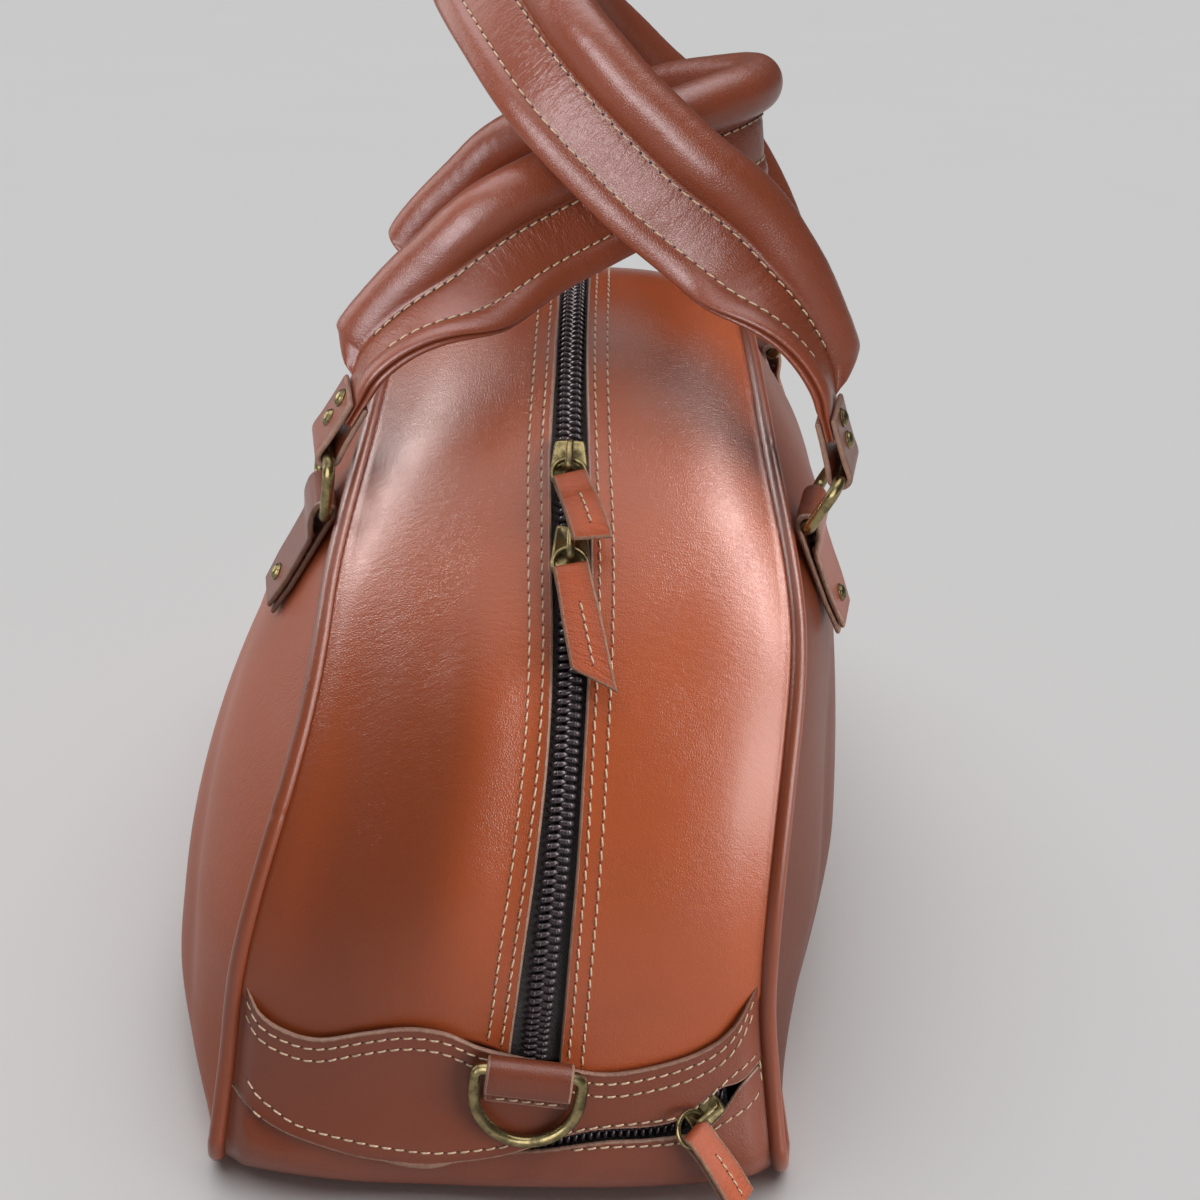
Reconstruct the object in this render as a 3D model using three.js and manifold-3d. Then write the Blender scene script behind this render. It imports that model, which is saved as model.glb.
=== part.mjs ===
// Leather bowler bag: domed body with piped side panels, a zip along the gusset,
// a base strip that turns up as a boot at both ends, and two padded handles.
// Millimetres, +Z up. +X is the end with the pocket, -Y is the front panel.
import * as THREE from 'three';
import { mergeVertices } from 'three/addons/utils/BufferGeometryUtils.js';
import Module from 'manifold-3d';

const wasm = await Module();
wasm.setup();

// Leather and the clearance between sewn pieces
const HIDE = 2;
const GAP = 0.35;
const STEP = HIDE + GAP;

// Side outline of the body
const BASE_HALF = 194;
const CORNER_R = 20;
const WAIST_HALF = 180;
const WAIST_Z = 76;
const SEAM_TOP = 244;
const DOME_POWER = 1.22;

// Width between the seams, drawn in between foot and top and fuller at the shoulder, and the
// sideways shift of the slouched body from foot to top
const FOOT_HALF = 95;
const TOP_HALF = 62;
const DRAWN_IN = 16;
const SHOULDER = { most: 3.2, at: 0.62, span: 0.12 };
const SHIFT = { foot: -10.5, top: 6, from: 0.2, to: 0.6 };

// Crown of the gusset, bulge of the side panels, piping along the seams
const CROWN = 10;
const CROWN_POWER = 3.2;
const SHOULDER_DROP = 1.6;
const SWELL = {
  front: { most: 39.5, along: 3.6, at: 0.16, below: 3.4, above: 2.1 },
  back: { most: 39.5, along: 2.55, at: 0.29, below: 1.6, above: 1.6 },
};
const PANEL_Z = 85;
const PIPING_R = 2.8;
const PIPING_INSET = 3.1;
const SEAM_CLEAR = PIPING_R + GAP;

// Boot edge and pocket slot: place across from seam to seam, then the distance up the end
// from the start of the base corner
const BOOT_EDGE = [
  { at: -1, rise: 89.5 }, { at: -0.9, rise: 79.5 }, { at: -0.78, rise: 75.2 }, { at: -0.66, rise: 74.6 },
  { at: -0.5, rise: 79 }, { at: -0.34, rise: 82.3 }, { at: -0.2, rise: 81 }, { at: -0.06, rise: 75 },
  { at: 0.15, rise: 70 }, { at: 0.38, rise: 65.4 }, { at: 0.58, rise: 67.3 }, { at: 0.77, rise: 72 },
  { at: 0.88, rise: 78.5 }, { at: 1, rise: 95 },
];
const SLOT_LINE = [
  { at: -1, rise: 52 }, { at: -0.9, rise: 46 }, { at: -0.78, rise: 41 }, { at: -0.62, rise: 37 },
  { at: -0.45, rise: 33.6 }, { at: -0.24, rise: 32.3 }, { at: -0.09, rise: 34 }, { at: 0.1, rise: 37.6 },
  { at: 0.27, rise: 41.4 }, { at: 0.4, rise: 43.2 }, { at: 0.55, rise: 43.6 }, { at: 0.67, rise: 45.2 },
  { at: 0.75, rise: 48.6 }, { at: 0.83, rise: 53.6 }, { at: 0.91, rise: 58.6 }, { at: 1, rise: 63 },
];
const BOOT_TUCK = 6;
const BOOT_STEP = HIDE + 0.8;
const SLOT_HALF = 4.4;
const SLOT_SHUT = 1;
const SLIDER_ROOM = 2;

// Zips
// Line of the zip up the end: distance up, place of its middle, half of the open slot
const ZIP_LINE = [
  { at: 60, middle: 0.5, half: 7.8 }, { at: 80, middle: 1.8, half: 7.5 },
  { at: 105, middle: 4, half: 6.8 }, { at: 135, middle: 6.8, half: 5.9 },
  { at: 165, middle: 8.6, half: 5.2 }, { at: 195, middle: 9.2, half: 5.4 },
  { at: 225, middle: 8.4, half: 6 }, { at: 262, middle: 6.8, half: 5.8 },
  { at: 300, middle: 6.3, half: 5 }, { at: 360, middle: 6.3, half: 5 },
];
const TAPE_HALF = 10.5;
const COIL_HALF = 4.4;
const COIL_DROP = 0.4;
const TAPE = 1;
const POCKET_TAPE_HALF = 7;
const POCKET_COIL_HALF = 3.2;
const POCKET_BEHIND = 2;
const POCKET_SLIDER_T = 0.77;
const POCKET_SLIDER_SIZE = 0.8;
const POCKET_RING_TILT = 0.5;
const CELLS_ACROSS = 14;

// D-rings and their tabs
const D_WIRE_R = 2;
const D_HALF = 16.5;
const D_ARM = 8;
const D_TAB_HALF = 13.4;
const D_TAB_RISE = 69;
const D_TURN = { near: 0.105, far: 0 };
const BAR_LOOP_R = D_WIRE_R + GAP + HIDE / 2;

// Handle hardware
const RING_WIRE_R = 2;
const RING_HALF = 16;
const RING_TALL = 20;
const RING_CORNER = 4.5;
const RING_LEAN = { front: 0.12, back: 0.5 };
const LOOP_R = RING_WIRE_R + GAP + HIDE / 2;
const ANCHOR_X = 84;
const ANCHOR_Z = 197;
const ANCHOR_LONG = 44;
const ANCHOR_HALF = 11;
const STRAP_END_HALF = 10.5;
const STRAP_END_LONG = 20.5;
const STRAP_CORE_HALF = 1.2;
const STRAP_HALF = 22;
const STRAP_WEB = 24.5;
const STRAP_END_SHARE = 0.85;
const RIVET_R = 3.1;
const RIVET_TALL = 2;

// Handle strap section: width towards the roll, then thickness
const STRAP_SECTION = [
  [-22, -2.8], [-22, 2.8], [-14, 2.8], [-12.5, 1.9], [2.5, 1.9], [5.5, 6.2], [12, 8.8],
  [18.6, 6.2], [21.4, 0], [18.6, -6.2], [12, -8.8], [5.5, -6.2], [2.5, -1.9], [-12.5, -1.9],
  [-14, -2.8],
];

// Half of each handle's centre line from above the ring to the middle of the arch: x, y, z
const HANDLES = {
  front: {
    side: -1,
    roll: new THREE.Vector3(0, -0.55, 0.835),
    rollTop: new THREE.Vector3(0, -0.1, 0.995),
    path: [
      [83, -56, 248], [75, -35, 265], [64, -13, 281], [49, 10, 291], [33, 38, 302], [15, 62, 309],
      [0, 69, 311],
    ],
  },
  back: {
    side: 1,
    roll: new THREE.Vector3(0, 0.72, 0.694),
    rollTop: new THREE.Vector3(0, 0.72, 0.694),
    path: [
      [86, 86, 250], [77, 62, 281], [73, 31, 306], [60, 3, 331], [39, -14, 350], [18, -24, 361],
      [0, -27, 364],
    ],
  },
};

const MATERIALS = {
  leather: new THREE.MeshStandardMaterial({ color: 0xa0522d, roughness: 0.45, metalness: 0 }),
  handle: new THREE.MeshStandardMaterial({ color: 0x8a5240, roughness: 0.5, metalness: 0 }),
  brass: new THREE.MeshStandardMaterial({ color: 0x9a9068, roughness: 0.35, metalness: 1 }),
  zip: new THREE.MeshStandardMaterial({ color: 0x2e2022, roughness: 0.8, metalness: 0 }),
};

const { clamp, lerp, smoothstep } = THREE.MathUtils;
const vec = (x, y, z) => new THREE.Vector3(x, y, z);
const range = (n) => Array.from({ length: n + 1 }, (_, i) => i / n);

// Smooth curve through the named column of a table, read at a place along it
function curveThrough(table, column) {
  const slope = table.map((row, i) => {
    const [a, b] = [table[Math.max(i - 1, 0)], table[Math.min(i + 1, table.length - 1)]];
    return (b[column] - a[column]) / (b.at - a.at);
  });
  return (at) => {
    const inside = clamp(at, table[0].at, table.at(-1).at);
    const found = table.findIndex((row) => row.at >= inside);
    const k = Math.max(found, 1);
    const [a, b] = [table[k - 1], table[k]];
    const span = b.at - a.at;
    const f = (inside - a.at) / span;
    const ease = f * f * (3 - 2 * f);
    const bend = f * (1 - f) * span * (slope[k - 1] * (1 - f) - slope[k] * f);
    return lerp(a[column], b[column], ease) + bend;
  };
}

const bag = new THREE.Group();
bag.name = 'bowler_bag';

function addPiece(name, geometry, material) {
  const mesh = new THREE.Mesh(geometry, MATERIALS[material]);
  mesh.name = name;
  bag.add(mesh);
}

// Closed body from points and triangles, turned so that its faces point outwards
function closedBody(points, triangles) {
  let volume = 0;
  for (const [a, b, c] of triangles) {
    volume += points[a].dot(points[b].clone().cross(points[c]));
  }
  const index = triangles.flatMap(([a, b, c]) => (volume > 0 ? [a, b, c] : [a, c, b]));
  const geometry = new THREE.BufferGeometry();
  const flat = points.flatMap((p) => [p.x, p.y, p.z]);
  geometry.setAttribute('position', new THREE.Float32BufferAttribute(flat, 3));
  geometry.setIndex(index);
  geometry.computeVertexNormals();
  return geometry;
}

// Wall between an outer and an inner sheet, both functions of two parameters
function wall(rows, columns, outer, inner) {
  const points = [];
  const triangles = [];
  const across = columns.length;
  for (const sheet of [outer, inner]) {
    for (const a of rows) {
      for (const b of columns) {
        points.push(sheet(a, b));
      }
    }
  }
  const half = rows.length * across;
  const at = (i, j, layer) => layer * half + i * across + j;
  const quad = (a, b, c, d) => triangles.push([a, b, c], [a, c, d]);
  for (let i = 0; i + 1 < rows.length; i += 1) {
    for (let j = 0; j + 1 < across; j += 1) {
      quad(at(i, j, 0), at(i + 1, j, 0), at(i + 1, j + 1, 0), at(i, j + 1, 0));
      quad(at(i, j, 1), at(i, j + 1, 1), at(i + 1, j + 1, 1), at(i + 1, j, 1));
    }
    quad(at(i, 0, 0), at(i, 0, 1), at(i + 1, 0, 1), at(i + 1, 0, 0));
    const last = across - 1;
    quad(at(i, last, 0), at(i + 1, last, 0), at(i + 1, last, 1), at(i, last, 1));
  }
  const end = rows.length - 1;
  for (let j = 0; j + 1 < across; j += 1) {
    quad(at(0, j, 0), at(0, j + 1, 0), at(0, j + 1, 1), at(0, j, 1));
    quad(at(end, j, 0), at(end, j, 1), at(end, j + 1, 1), at(end, j + 1, 0));
  }
  return closedBody(points, triangles);
}

// Section loops joined one to the next, either round a ring or with flat ends
function loft(loops, ring) {
  const points = loops.flat();
  const triangles = [];
  const sides = loops[0].length;
  const spans = ring ? loops.length : loops.length - 1;
  for (let i = 0; i < spans; i += 1) {
    const next = (i + 1) % loops.length;
    for (let j = 0; j < sides; j += 1) {
      const k = (j + 1) % sides;
      const [a, b] = [i * sides + j, i * sides + k];
      const [c, d] = [next * sides + k, next * sides + j];
      triangles.push([a, b, c], [a, c, d]);
    }
  }
  if (!ring) {
    const last = (loops.length - 1) * sides;
    for (const [a, b, c] of capTriangles(loops[0])) {
      triangles.push([a, c, b]);
      triangles.push([last + a, last + b, last + c]);
    }
  }
  return closedBody(points, triangles);
}

// Triangles of a flat closed loop, worked out in the loop's own plane
function capTriangles(loop) {
  const centre = loop.reduce((sum, p) => sum.add(p), vec(0, 0, 0)).divideScalar(loop.length);
  const normal = vec(0, 0, 0);
  loop.forEach((p, j) => {
    const q = loop[(j + 1) % loop.length];
    normal.add(p.clone().sub(centre).cross(q.clone().sub(centre)));
  });
  normal.normalize();
  const u = loop[1].clone().sub(loop[0]).normalize();
  const v = normal.clone().cross(u);
  const flat = loop.map((p) => {
    const d = p.clone().sub(centre);
    return new THREE.Vector2(d.dot(u), d.dot(v));
  });
  return THREE.ShapeUtils.triangulateShape(flat, []);
}

// Round wire along a closed path of points
function wireRing(path, radius, sides) {
  const count = path.length;
  const centre = path.reduce((sum, p) => sum.add(p), vec(0, 0, 0)).divideScalar(count);
  const axis = path[0].clone().sub(centre);
  axis.cross(path[Math.round(count / 4)].clone().sub(centre)).normalize();
  const loops = path.map((p, i) => {
    const ahead = path[(i + 1) % count];
    const behind = path[(i + count - 1) % count];
    const along = ahead.clone().sub(behind).normalize();
    const out = along.clone().cross(axis);
    return range(sides).slice(0, sides).map((f) => {
      const angle = f * 2 * Math.PI;
      const shift = out.clone().multiplyScalar(Math.cos(angle) * radius);
      return p.clone().add(shift).addScaledVector(axis, Math.sin(angle) * radius);
    });
  });
  return loft(loops, true);
}

// A strip of leather along a path in the plane of a frame's up and out directions
function foldedStrip(frame, path, thick, halfWidth) {
  const loops = path.map(([up, out], i) => {
    const ahead = path[Math.min(i + 1, path.length - 1)];
    const behind = path[Math.max(i - 1, 0)];
    const run = new THREE.Vector2(ahead[0] - behind[0], ahead[1] - behind[1]).normalize();
    const half = halfWidth(up, i);
    const corner = (side, face) => {
      const u = up - (run.y * face * thick) / 2;
      const o = out + (run.x * face * thick) / 2;
      return place(frame, u, o, side * half);
    };
    return [corner(-1, -1), corner(1, -1), corner(1, 1), corner(-1, 1)];
  });
  return loft(loops, false);
}

function place(frame, up, out, across) {
  const p = frame.origin.clone().addScaledVector(frame.up, up);
  return p.addScaledVector(frame.out, out).addScaledVector(frame.across, across);
}

// Half outline from the middle of the base, round the near corner and up to the top
function buildHalfOutline() {
  const points = [];
  const flat = BASE_HALF - CORNER_R;
  for (const f of range(20)) {
    points.push([flat * f, 0]);
  }
  for (const f of range(24).slice(1)) {
    const angle = (f * Math.PI) / 2;
    points.push([flat + CORNER_R * Math.sin(angle), CORNER_R * (1 - Math.cos(angle))]);
  }
  for (const f of range(30).slice(1)) {
    const x = lerp(BASE_HALF, WAIST_HALF, Math.sin((f * Math.PI) / 2));
    points.push([x, lerp(CORNER_R, WAIST_Z, f)]);
  }
  for (const f of range(160).slice(1)) {
    const angle = (f * Math.PI) / 2;
    const x = WAIST_HALF * Math.max(Math.cos(angle), 0) ** DOME_POWER;
    points.push([x, WAIST_Z + (SEAM_TOP - WAIST_Z) * Math.sin(angle) ** DOME_POWER]);
  }
  let run = 0;
  return points.map(([x, z], i) => {
    run += i ? Math.hypot(x - points[i - 1][0], z - points[i - 1][1]) : 0;
    return { x, z, run };
  });
}

const halfOutline = buildHalfOutline();
const HALF_RUN = halfOutline.at(-1).run;
const CORNER_RUN = BASE_HALF - CORNER_R;

function pointOnHalf(run) {
  let k = halfOutline.findIndex((p) => p.run >= run);
  k = clamp(k < 0 ? halfOutline.length - 1 : k, 1, halfOutline.length - 1);
  const [a, b] = [halfOutline[k - 1], halfOutline[k]];
  const f = (run - a.run) / (b.run - a.run);
  return { x: lerp(a.x, b.x, f), z: lerp(a.z, b.z, f) };
}

// Point, outward direction and rise (0 on the base, 1 at the top) at a run along the whole outline
function outlineAt(run) {
  const lap = 2 * HALF_RUN;
  const wrapped = ((run % lap) + lap) % lap;
  const near = wrapped <= HALF_RUN;
  const half = near ? wrapped : lap - wrapped;
  const side = near ? 1 : -1;
  const p = pointOnHalf(half);
  const before = pointOnHalf(Math.max(half - 1, 0));
  const after = pointOnHalf(Math.min(half + 1, HALF_RUN));
  const slope = Math.hypot(after.x - before.x, after.z - before.z);
  return {
    x: side * p.x,
    z: p.z,
    nx: (side * (after.z - before.z)) / slope,
    nz: -(after.x - before.x) / slope,
    rise: clamp((half - CORNER_RUN) / (HALF_RUN - CORNER_RUN), 0, 1),
    near,
  };
}

const bump = (f, at, span) => Math.exp(-(((f - at) / span) ** 2));

function halfWidth(rise) {
  const { most, at, span } = SHOULDER;
  return lerp(FOOT_HALF, TOP_HALF, rise) - DRAWN_IN * rise * (1 - rise) + most * bump(rise, at, span);
}

function seamY(side, rise) {
  const shift = lerp(SHIFT.foot, SHIFT.top, smoothstep(rise, SHIFT.from, SHIFT.to));
  return shift + side * halfWidth(rise);
}

// Point on the gusset at a run along the outline and a distance across, raised by a lift
function gussetAt(run, y, lift) {
  const spot = outlineAt(run);
  const low = seamY(-1, spot.rise) + SEAM_CLEAR;
  const high = seamY(1, spot.rise) - SEAM_CLEAR;
  const t = clamp((2 * y - low - high) / (high - low), -1, 1);
  const ramp = smoothstep(spot.rise, 0, 0.12);
  const crown = (CROWN + SHOULDER_DROP) * (1 - Math.abs(t) ** CROWN_POWER) - SHOULDER_DROP;
  const n = ramp * crown + lift;
  return vec(spot.x + spot.nx * n, y, spot.z + spot.nz * n);
}

const edgeY = (run, side) => seamY(side, outlineAt(run).rise) - side * SEAM_CLEAR;
const zipRise = (run) => outlineAt(run).rise * (HALF_RUN - CORNER_RUN);
const zipMiddle = curveThrough(ZIP_LINE, 'middle');
const zipSlot = curveThrough(ZIP_LINE, 'half');
const zipY = (run) => zipMiddle(zipRise(run));
const slotHalf = (run) => zipSlot(zipRise(run));
const bootRise = curveThrough(BOOT_EDGE, 'rise');
const slotRise = curveThrough(SLOT_LINE, 'rise');
const bootEdge = (t) => CORNER_RUN + bootRise(t);
const slotLine = (t) => CORNER_RUN + slotRise(t);
const sliderRoom = (t) => SLIDER_ROOM * bump(t, POCKET_SLIDER_T, 0.14);
const slotWide = (t) => lerp(SLOT_SHUT, SLOT_HALF, smoothstep(t, -0.1, 0.3)) + sliderRoom(t);
const slotGap = (t) => lerp(slotWide(t), GAP / 2, smoothstep(Math.abs(t), 0.88, 0.97));

// The boot stands a step proud of the gusset, and runs flush on the base
function bootLift(run) {
  return BOOT_STEP * smoothstep(Math.abs(run) - CORNER_RUN, 8, 40);
}

// Places along the outline shared by the panels and their piping
function sharedRuns() {
  const half = [];
  const spread = (from, to, count) => range(count).slice(1).forEach((f) => half.push(lerp(from, to, f)));
  const waist = halfOutline.find((p) => p.z >= WAIST_Z - 0.01).run;
  const cornerEnd = halfOutline.find((p) => p.z >= CORNER_R - 0.01).run;
  spread(0, CORNER_RUN, 3);
  spread(CORNER_RUN, cornerEnd, 4);
  spread(cornerEnd, waist, 4);
  spread(waist, HALF_RUN, 12);
  const back = half.slice(0, -1).reverse().map((run) => 2 * HALF_RUN - run);
  return [0, ...half, ...back];
}

const RUNS = sharedRuns();

// Rise of the seam at a height, used for the width of a panel inside its outline
function riseAtHeight(z) {
  const k = halfOutline.findIndex((p) => p.z >= z);
  const run = k < 0 ? HALF_RUN : halfOutline[k].run;
  return clamp((run - CORNER_RUN) / (HALF_RUN - CORNER_RUN), 0, 1);
}

function rimAt(run) {
  const spot = outlineAt(run);
  const inset = PIPING_INSET + SEAM_CLEAR;
  return { x: spot.x - spot.nx * inset, z: spot.z - spot.nz * inset, spot };
}

// How far a panel swells at a place inside its rim: most low on the panel, none at the rim
function swellAt(key, x, z) {
  const { most, along, at, below, above } = SWELL[key];
  const low = PIPING_INSET + SEAM_CLEAR;
  const up = clamp((z - low) / (SEAM_TOP - 2 * low), 0, 1);
  const reach = halfOutline.findLast((p) => p.z <= z + low).x;
  const length = 1 - clamp(Math.abs(x) / Math.max(reach - low, 1), 0, 1) ** along;
  const rise = up < at ? 1 - (1 - up / at) ** below : 1 - ((up - at) / (1 - at)) ** above;
  return most * length * rise;
}

// Panel point at a share of the way from its middle to its rim; depth moves it outwards
function panelAt(key, share, run, depth) {
  const side = HANDLES[key].side;
  const rim = rimAt(run);
  const x = rim.x * share;
  const z = lerp(PANEL_Z, rim.z, share);
  const swell = share === 1 ? 0 : swellAt(key, x, z);
  const seam = share === 1 ? seamY(side, rim.spot.rise) : seamY(side, riseAtHeight(z));
  return vec(x, seam + side * (swell + depth), z);
}

// Outer face of a panel under a point given by x and z
function panelUnder(key, x, z) {
  const want = Math.atan2(z - PANEL_Z, x);
  let best = { miss: Infinity };
  for (const f of range(1600)) {
    const run = f * 2 * HALF_RUN;
    const rim = rimAt(run);
    const miss = Math.abs(Math.atan2(rim.z - PANEL_Z, rim.x) - want);
    best = miss < best.miss ? { miss, run, reach: Math.hypot(rim.x, rim.z - PANEL_Z) } : best;
  }
  return panelAt(key, Math.hypot(x, z - PANEL_Z) / best.reach, best.run, FACE);
}

const FACE = 0.6;
const SHARES = [1, 0.88, 0.74, 0.56, 0.34];

// Side panel: a domed disc of leather with its rim beside the piping
function panel(key) {
  const points = [];
  const triangles = [];
  const count = RUNS.length;
  for (const depth of [FACE, FACE - HIDE]) {
    for (const share of SHARES) {
      RUNS.forEach((run) => points.push(panelAt(key, share, run, depth)));
    }
    points.push(panelAt(key, 0, 0, depth));
  }
  const layer = SHARES.length * count + 1;
  for (let k = 0; k < count; k += 1) {
    const next = (k + 1) % count;
    for (let ring = 0; ring + 1 < SHARES.length; ring += 1) {
      const [a, b] = [ring * count + k, ring * count + next];
      const [c, d] = [b + count, a + count];
      triangles.push([a, b, c], [a, c, d]);
      triangles.push([layer + a, layer + c, layer + b], [layer + a, layer + d, layer + c]);
    }
    const inner = (SHARES.length - 1) * count;
    triangles.push([inner + k, inner + next, layer - 1]);
    triangles.push([layer + inner + next, layer + inner + k, 2 * layer - 1]);
    triangles.push([k, layer + k, layer + next], [k, layer + next, next]);
  }
  return closedBody(points, triangles);
}

function piping(key) {
  const side = HANDLES[key].side;
  const path = RUNS.map((run) => {
    const spot = outlineAt(run);
    const y = seamY(side, spot.rise);
    return vec(spot.x - spot.nx * PIPING_INSET, y, spot.z - spot.nz * PIPING_INSET);
  });
  const loops = path.map((p, i) => {
    const spot = outlineAt(RUNS[i]);
    return range(6).slice(0, 6).map((f) => {
      const angle = f * 2 * Math.PI;
      const out = PIPING_R * Math.cos(angle);
      return vec(p.x + spot.nx * out, p.y + PIPING_R * Math.sin(angle), p.z + spot.nz * out);
    });
  });
  return loft(loops, true);
}

// Half of the gusset between a seam and the zip, tucked under the boots at both ends
function gussetHalf(side) {
  const sheet = (lift) => (a, b) => {
    const seamT = side * lerp(ZIP_LINE[0].half / FOOT_HALF, 1, b);
    const start = bootEdge(seamT) - BOOT_TUCK;
    const run = lerp(start, 2 * HALF_RUN - start, a);
    const y = lerp(zipY(run) + side * slotHalf(run), edgeY(run, side), b);
    return gussetAt(run, y, lift);
  };
  return wall(range(30), [0, 0.4, 0.7, 0.88, 1], sheet(0), sheet(-HIDE));
}

// Base strip: from the lower lip of the pocket slot, under the bag and up the far end
function baseStrip() {
  const sheet = (thick) => (a, b) => {
    const t = lerp(-1, 1, b);
    const start = slotLine(t) - slotGap(t);
    const run = a >= 0 ? lerp(CORNER_RUN, start, a) : lerp(CORNER_RUN, -bootEdge(t), -a);
    const y = lerp(edgeY(run, -1), edgeY(run, 1), b);
    return gussetAt(run, y, bootLift(run) - thick);
  };
  const cornerShare = (2 * CORNER_RUN) / (2 * CORNER_RUN + bootRise(0));
  const far = range(9).map((f) => -lerp(cornerShare, 1, f));
  const under = [0.33, 0.67].map((f) => -f * cornerShare);
  const rows = [1, 0.75, 0.5, 0.25, 0, ...under, ...far];
  return wall(rows, range(CELLS_ACROSS), sheet(0), sheet(HIDE));
}

// Boot above the pocket slot at the near end
function nearBoot() {
  const sheet = (thick) => (a, b) => {
    const t = lerp(-1, 1, b);
    const run = lerp(slotLine(t) + slotGap(t), bootEdge(t), a);
    const y = lerp(edgeY(run, -1), edgeY(run, 1), b);
    return gussetAt(run, y, bootLift(run) - thick);
  };
  return wall(range(4), range(CELLS_ACROSS), sheet(0), sheet(HIDE));
}

// Main zip: tape behind the gusset edges, coil standing up in the slot
function mainZip() {
  const section = [
    [-TAPE_HALF, -STEP], [-COIL_HALF - 0.5, -STEP], [-COIL_HALF, -COIL_DROP],
    [COIL_HALF, -COIL_DROP], [COIL_HALF + 0.5, -STEP], [TAPE_HALF, -STEP],
    [TAPE_HALF, -STEP - TAPE], [-TAPE_HALF, -STEP - TAPE],
  ];
  const start = bootEdge(0) - BOOT_TUCK;
  const loops = range(30).map((a) => {
    const run = lerp(start, 2 * HALF_RUN - start, a);
    return section.map(([across, lift]) => gussetAt(run, zipY(run) + across, lift));
  });
  return loft(loops, false);
}

// Pocket zip behind the slot
function pocketZip() {
  const section = (coil) => [
    [-POCKET_TAPE_HALF, 0], [-POCKET_COIL_HALF - 0.4, 0], [-POCKET_COIL_HALF, coil],
    [POCKET_COIL_HALF, coil], [POCKET_COIL_HALF + 0.4, 0], [POCKET_TAPE_HALF, 0],
    [POCKET_TAPE_HALF, -TAPE], [-POCKET_TAPE_HALF, -TAPE],
  ];
  const loops = range(CELLS_ACROSS).slice(1, -1).map((f) => {
    const t = lerp(-1, 1, f);
    const middle = slotLine(t);
    const coil = (STEP - 0.8) * smoothstep(slotGap(t), SLOT_SHUT + 1, SLOT_HALF);
    return section(coil).map(([up, out]) => {
      const run = middle + up;
      const y = lerp(edgeY(run, -1), edgeY(run, 1), (t + 1) / 2);
      return gussetAt(run, y, bootLift(run) - STEP - POCKET_BEHIND + out);
    });
  });
  return loft(loops, false);
}

// Directions on the gusset: up along the outline, out from it, and across
function gussetFrame(run, y, lift) {
  const origin = gussetAt(run, y, lift);
  const up = gussetAt(run + 1, y, lift).sub(gussetAt(run - 1, y, lift)).normalize();
  const across = vec(0, 1, 0);
  return { origin, up, out: across.clone().cross(up).normalize(), across };
}

// D-ring and tab share the bar's centre, and stand on the boot below the bar
function dFrame(end) {
  const run = CORNER_RUN + D_TAB_RISE;
  const boot = (at) => gussetAt(end > 0 ? at : -at, 0, bootLift(at));
  const up = boot(run + 2).sub(boot(run - 12)).normalize();
  const across = vec(0, end, 0);
  const out = across.clone().cross(up).normalize();
  const turn = D_TURN[end > 0 ? 'near' : 'far'];
  up.applyAxisAngle(out, -turn);
  across.applyAxisAngle(out, -turn);
  const origin = boot(run);
  const rise = range(8).map((f) => boot(run - 14 * f).sub(origin).dot(out));
  const drop = range(8).map((f) => boot(run - D_ARM - D_HALF * f).sub(origin));
  origin.addScaledVector(out, Math.max(...rise) + GAP + HIDE / 2 + BAR_LOOP_R);
  const bar = boot(run).sub(origin).dot(out);
  const rest = drop.map((p) => (p.dot(out) + bar + D_WIRE_R + GAP) / -p.dot(up));
  return { origin, up, out, across, lean: Math.atan(Math.max(...rest)) };
}

function dRing(frame) {
  const path = [];
  for (const f of range(4)) {
    path.push([0, lerp(-D_HALF + 1.5, D_HALF - 1.5, f)]);
  }
  path.push([-1.5, D_HALF]);
  for (const f of range(12)) {
    const angle = f * Math.PI;
    path.push([-D_ARM - D_HALF * Math.sin(angle), D_HALF * Math.cos(angle)]);
  }
  path.push([-1.5, -D_HALF]);
  const points = path.map(([up, across]) => {
    return place(frame, up * Math.cos(frame.lean), -up * Math.sin(frame.lean), across);
  });
  return wireRing(points, D_WIRE_R, 6);
}

function loopPoints(radius, from, to, count) {
  return range(count).map((f) => {
    const angle = lerp(from, to, f);
    return [radius * Math.sin(angle), -radius * Math.cos(angle)];
  });
}

function dTab(frame) {
  const path = [
    [-11, -BAR_LOOP_R], [-4, -BAR_LOOP_R],
    ...loopPoints(BAR_LOOP_R, 0, Math.PI, 6),
    [-5, BAR_LOOP_R - 0.2], [-11, BAR_LOOP_R - 1.1],
  ];
  return foldedStrip(frame, path, HIDE, () => D_TAB_HALF);
}

// Anchor on a panel: up the panel, out from it, across along the bag
function anchorFrame(key, end) {
  const x = end * ANCHOR_X;
  const low = ANCHOR_Z - ANCHOR_LONG;
  const top = panelUnder(key, x, ANCHOR_Z);
  const middle = panelUnder(key, x, (ANCHOR_Z + low) / 2);
  const bottom = panelUnder(key, x, low);
  const up = top.clone().sub(bottom).normalize();
  const beside = panelUnder(key, x + 8, middle.z).sub(panelUnder(key, x - 8, middle.z));
  const out = beside.cross(up).normalize();
  if (out.y * HANDLES[key].side < 0) {
    out.negate();
  }
  const across = up.clone().cross(out).normalize();
  const rise = middle.clone().sub(top).dot(out);
  const origin = top.clone().addScaledVector(out, Math.max(rise, 0) + GAP + HIDE / 2 + LOOP_R);
  return { origin, up, out, across };
}

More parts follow.
